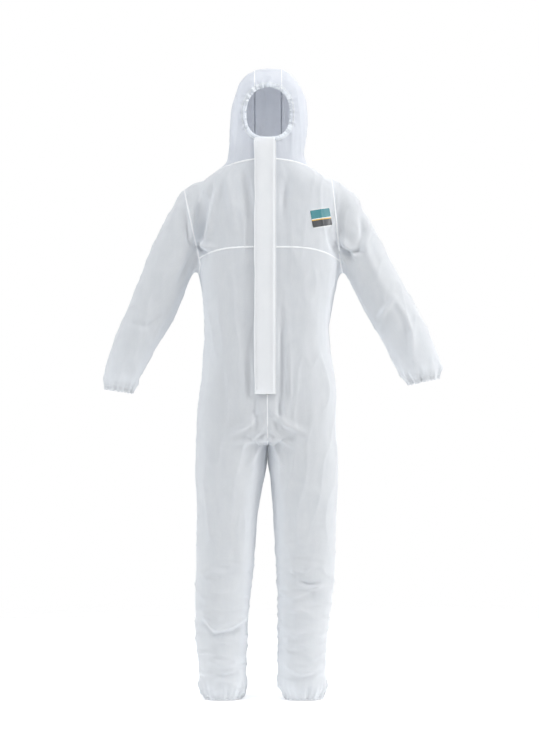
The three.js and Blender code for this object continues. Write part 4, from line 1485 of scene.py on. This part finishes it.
def liner_paper():
    made, shader, place = finish_of("liner_paper", Specular_IOR_Level=0.4)
    fibre = place.node("ShaderNodeTexNoise", None, {"Vector": place, "Scale": 800.0, "Detail": 4.0})
    grid = place.node("ShaderNodeTexWave", {"wave_type": "BANDS", "bands_direction": "DIAGONAL"},
                      {"Vector": place, "Scale": 60.0})
    colour = place.mixed(fibre * 0.7 + grid * 0.3, (.86, .86, .83, 1), (.95, .95, .925, 1))
    feed(shader, Base_Color=colour, Roughness=0.35 + fibre * 0.2,
         Normal=place.bump(fibre * 0.5 + grid * 0.2, 0.2, 0.0002))
    return made


def inner_strip(name, x_low, x_high, y, margin, material):
    rows = []
    for x in np.linspace(x_low, x_high, 5):
        rows.append([(on_front(x, y + leaf_wave(x, z), z), FORWARD)
                     for z in np.linspace(margin, ZIP_LENGTH - margin, 200)])
    return strap(name, rows, .00025, material)


tape_strip = inner_strip("flap_adhesive_strip", -.034, -.020, -.0070, .015, adhesive())
liner_strip = inner_strip("flap_liner_strip", -.0345, -.0195, -.0067, .014, liner_paper())
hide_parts("flap_adhesive_tape")
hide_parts("flap_release_liner")
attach(tape_strip, "storm_flap")
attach(liner_strip, "storm_flap")


# ---------------------------------------------------------------------------
# Labels. A small printed film patch is welded to the left chest, plain bands
# of colour here; a blank woven label hangs inside the back of the neck.
# ---------------------------------------------------------------------------
LABEL_AT = (.148, up(1.334))
LABEL_TURN = math.radians(10)


def printed_film():
    made, shader, place = finish_of("printed_film", Coat_Weight=0.3, Coat_Roughness=0.25)
    across = place.node("ShaderNodeSeparateXYZ", None, {"Vector": place}, output=0)
    upward = Socket(place.tree, across.out.node.outputs[2])
    v = (upward - LABEL_AT[1]) * math.cos(LABEL_TURN) - (across - LABEL_AT[0]) * math.sin(LABEL_TURN)
    v = v * (1 / .052) + 0.5
    ink = place.node("ShaderNodeTexNoise", None, {"Vector": place, "Scale": 420.0, "Detail": 2.0})
    edge = place.node("ShaderNodeValToRGB", {"stops": [
        (0.0, (.80, .81, .82)), (.045, (.035, .037, .042)), (.40, (.72, .42, .06)),
        (.46, (.80, .81, .82)), (.50, (.035, .22, .25)), (.955, (.80, .81, .82))]}, {0: v})
    edge.out.node.color_ramp.interpolation = "CONSTANT"
    colour = place.mixed(ink * 0.05, edge, (.9, .9, .9, 1))
    feed(shader, Base_Color=colour, Roughness=0.32 + ink * 0.2, Normal=place.bump(ink, 0.15, 0.0002))
    return made


def label_grid(half_x, half_z, corner, count):
    """Rows of points inside a rounded rectangle, closer together near its edge."""
    shares = np.sin(np.linspace(-math.pi / 2, math.pi / 2, count))
    rows = []
    for t in shares:
        z = t * half_z
        over = max(0, abs(z) - (half_z - corner))
        half = half_x - corner + math.sqrt(max(0, corner**2 - over**2))
        rows.append([(s * half, z) for s in shares])
    return rows


def patch(name, rows, place, thickness, material):
    count = len(rows[0])
    verts = [place(x, z) for row in rows for x, z in row]
    faces = [(r * count + k, r * count + k + 1, (r + 1) * count + k + 1, (r + 1) * count + k)
             for r in range(len(rows) - 1) for k in range(count - 1)]
    piece = new_piece(name, verts, faces, material)
    return thicken(piece, thickness, offset=1)


def on_chest(x, z):
    c, s = math.cos(LABEL_TURN), math.sin(LABEL_TURN)
    at = Vector((LABEL_AT[0] + x * c - z * s, -.5, LABEL_AT[1] + x * s + z * c))
    hit = cloth.ray_cast(at, Vector((0, 1, 0)), .6)[0]
    return Vector((at.x, hit.y - .0006, at.z))


chest = patch("chest_patch", label_grid(.027, .026, .006, 30), on_chest, .0005, printed_film())
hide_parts("chest_label")
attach(chest, "suit_body")


def ribbon():
    made, shader, place = finish_of("woven_ribbon", Sheen_Weight=0.4)
    warp = place.node("ShaderNodeTexWave", {"wave_type": "BANDS", "bands_direction": "X"},
                      {"Vector": place, "Scale": 560.0})
    weft = place.node("ShaderNodeTexWave", {"wave_type": "BANDS", "bands_direction": "Z"},
                      {"Vector": place, "Scale": 300.0})
    weave = warp * 0.6 + weft * 0.4
    feed(shader, Base_Color=place.mixed(weave, (.80, .80, .78, 1), (.93, .93, .91, 1)),
         Roughness=0.4 + weave * 0.25, Normal=place.bump(weave, 0.4, 0.0003))
    return made


def in_neck(x, z):
    at = Vector((x, 0, z - .035))
    hit = cloth.ray_cast(at, Vector((0, 1, 0)), .3)[0]
    away = (.029 - z) / .058
    return Vector((x, hit.y - .0018 - .003 * away, at.z))


neck_tag = patch("neck_ribbon", label_grid(.022, .029, .0012, 18), in_neck, .0004, ribbon())
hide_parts("neck_label")
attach(neck_tag, "suit_body")


# ---------------------------------------------------------------------------
# The studio: a pale floor that fades out, a bright even surround, large soft
# lights with the strongest on the wearer's left, and a faint one in the hood
# for the light that thin cloth lets through.
# ---------------------------------------------------------------------------
def floor():
    bm = bmesh.new()
    bmesh.ops.create_circle(bm, cap_ends=True, segments=96, radius=5)
    for v in bm.verts:
        v.co.z = HEM - .0015
    mesh = bpy.data.meshes.new("floor")
    bm.to_mesh(mesh)
    bm.free()
    made, shader, place = finish_of("pale_floor", Roughness=0.9)
    length = place.node("ShaderNodeVectorMath", {"operation": "LENGTH"}, {0: place}, output=1)
    fade = place.node("ShaderNodeMapRange", {"interpolation_type": "SMOOTHSTEP"},
                      {0: length, 1: 1.9, 2: 4.2, 3: 1.0, 4: 0.0})
    grain = place.node("ShaderNodeTexNoise", None, {"Vector": place, "Scale": 60.0, "Detail": 3.0})
    shader.inputs["Emission Color"].default_value = (1, 1, 1, 1)
    shader.inputs["Emission Strength"].default_value = 0.34
    feed(shader, Base_Color=place.mixed(grain, (.90, .905, .91, 1), (.93, .933, .937, 1)), Alpha=fade)
    mesh.materials.append(made)
    piece = bpy.data.objects.new("floor", mesh)
    bpy.context.collection.objects.link(piece)


floor()

world = bpy.data.worlds.new("studio")
bpy.context.scene.world = world
world.use_nodes = True
sky = world.node_tree
background = sky.nodes["Background"]
background.inputs[0].default_value = (.955, .975, 1, 1)
background.inputs[1].default_value = 0.46
seen = sky.nodes.new("ShaderNodeBackground")
seen.inputs[0].default_value = (1, 1, 1, 1)
seen.inputs[1].default_value = 1.0
rays = sky.nodes.new("ShaderNodeLightPath")
either = sky.nodes.new("ShaderNodeMixShader")
sky.links.new(rays.outputs["Is Camera Ray"], either.inputs[0])
sky.links.new(background.outputs[0], either.inputs[1])
sky.links.new(seen.outputs[0], either.inputs[2])
sky.links.new(either.outputs[0], sky.nodes["World Output"].inputs["Surface"])


def soft_light(name, place, aim, size, power, colour=(1, 1, 1)):
    lamp = bpy.data.lights.new(name, "AREA")
    lamp.shape = "RECTANGLE"
    lamp.size, lamp.size_y = size
    lamp.energy = power
    lamp.color = colour
    piece = bpy.data.objects.new(name, lamp)
    piece.location = place
    piece.rotation_euler = (Vector(aim) - Vector(place)).to_track_quat("-Z", "Y").to_euler()
    piece.visible_camera = False
    bpy.context.collection.objects.link(piece)


soft_light("key", (3.7, -1.3, 1.1), (0, 0, -.55), (1.2, 2.4), 96)
soft_light("fill", (-3.6, -1.5, .5), (0, 0, -.6), (1.2, 2.4), 44, (.94, .97, 1))
soft_light("back", (.8, 3.2, 1.4), (0, 0, -.5), (2.4, 1.6), 30)
soft_light("top", (-.2, -1.4, 2.6), (0, 0, -.4), (1.2, 1.2), 40)
soft_light("hood", (0, -.080, up(1.625)), (0, .10, up(1.625)), (.06, .08), .07, (.94, .96, 1))

camera_data = bpy.data.cameras.new("camera")
camera_data.sensor_fit = "AUTO"
camera_data.sensor_width = 36
CAMERA_AWAY = 9.0
PICTURE_TALL = 2.0738
camera_data.lens = 36 * (CAMERA_AWAY - .1) / PICTURE_TALL
camera_data.clip_end = 200
camera = bpy.data.objects.new("camera", camera_data)
camera.location = (.0055, -CAMERA_AWAY, HEM + .8964)
camera.rotation_euler = (math.pi / 2, 0, 0)
bpy.context.collection.objects.link(camera)
bpy.context.scene.camera = camera
bpy.context.scene.view_settings.view_transform = "Standard"
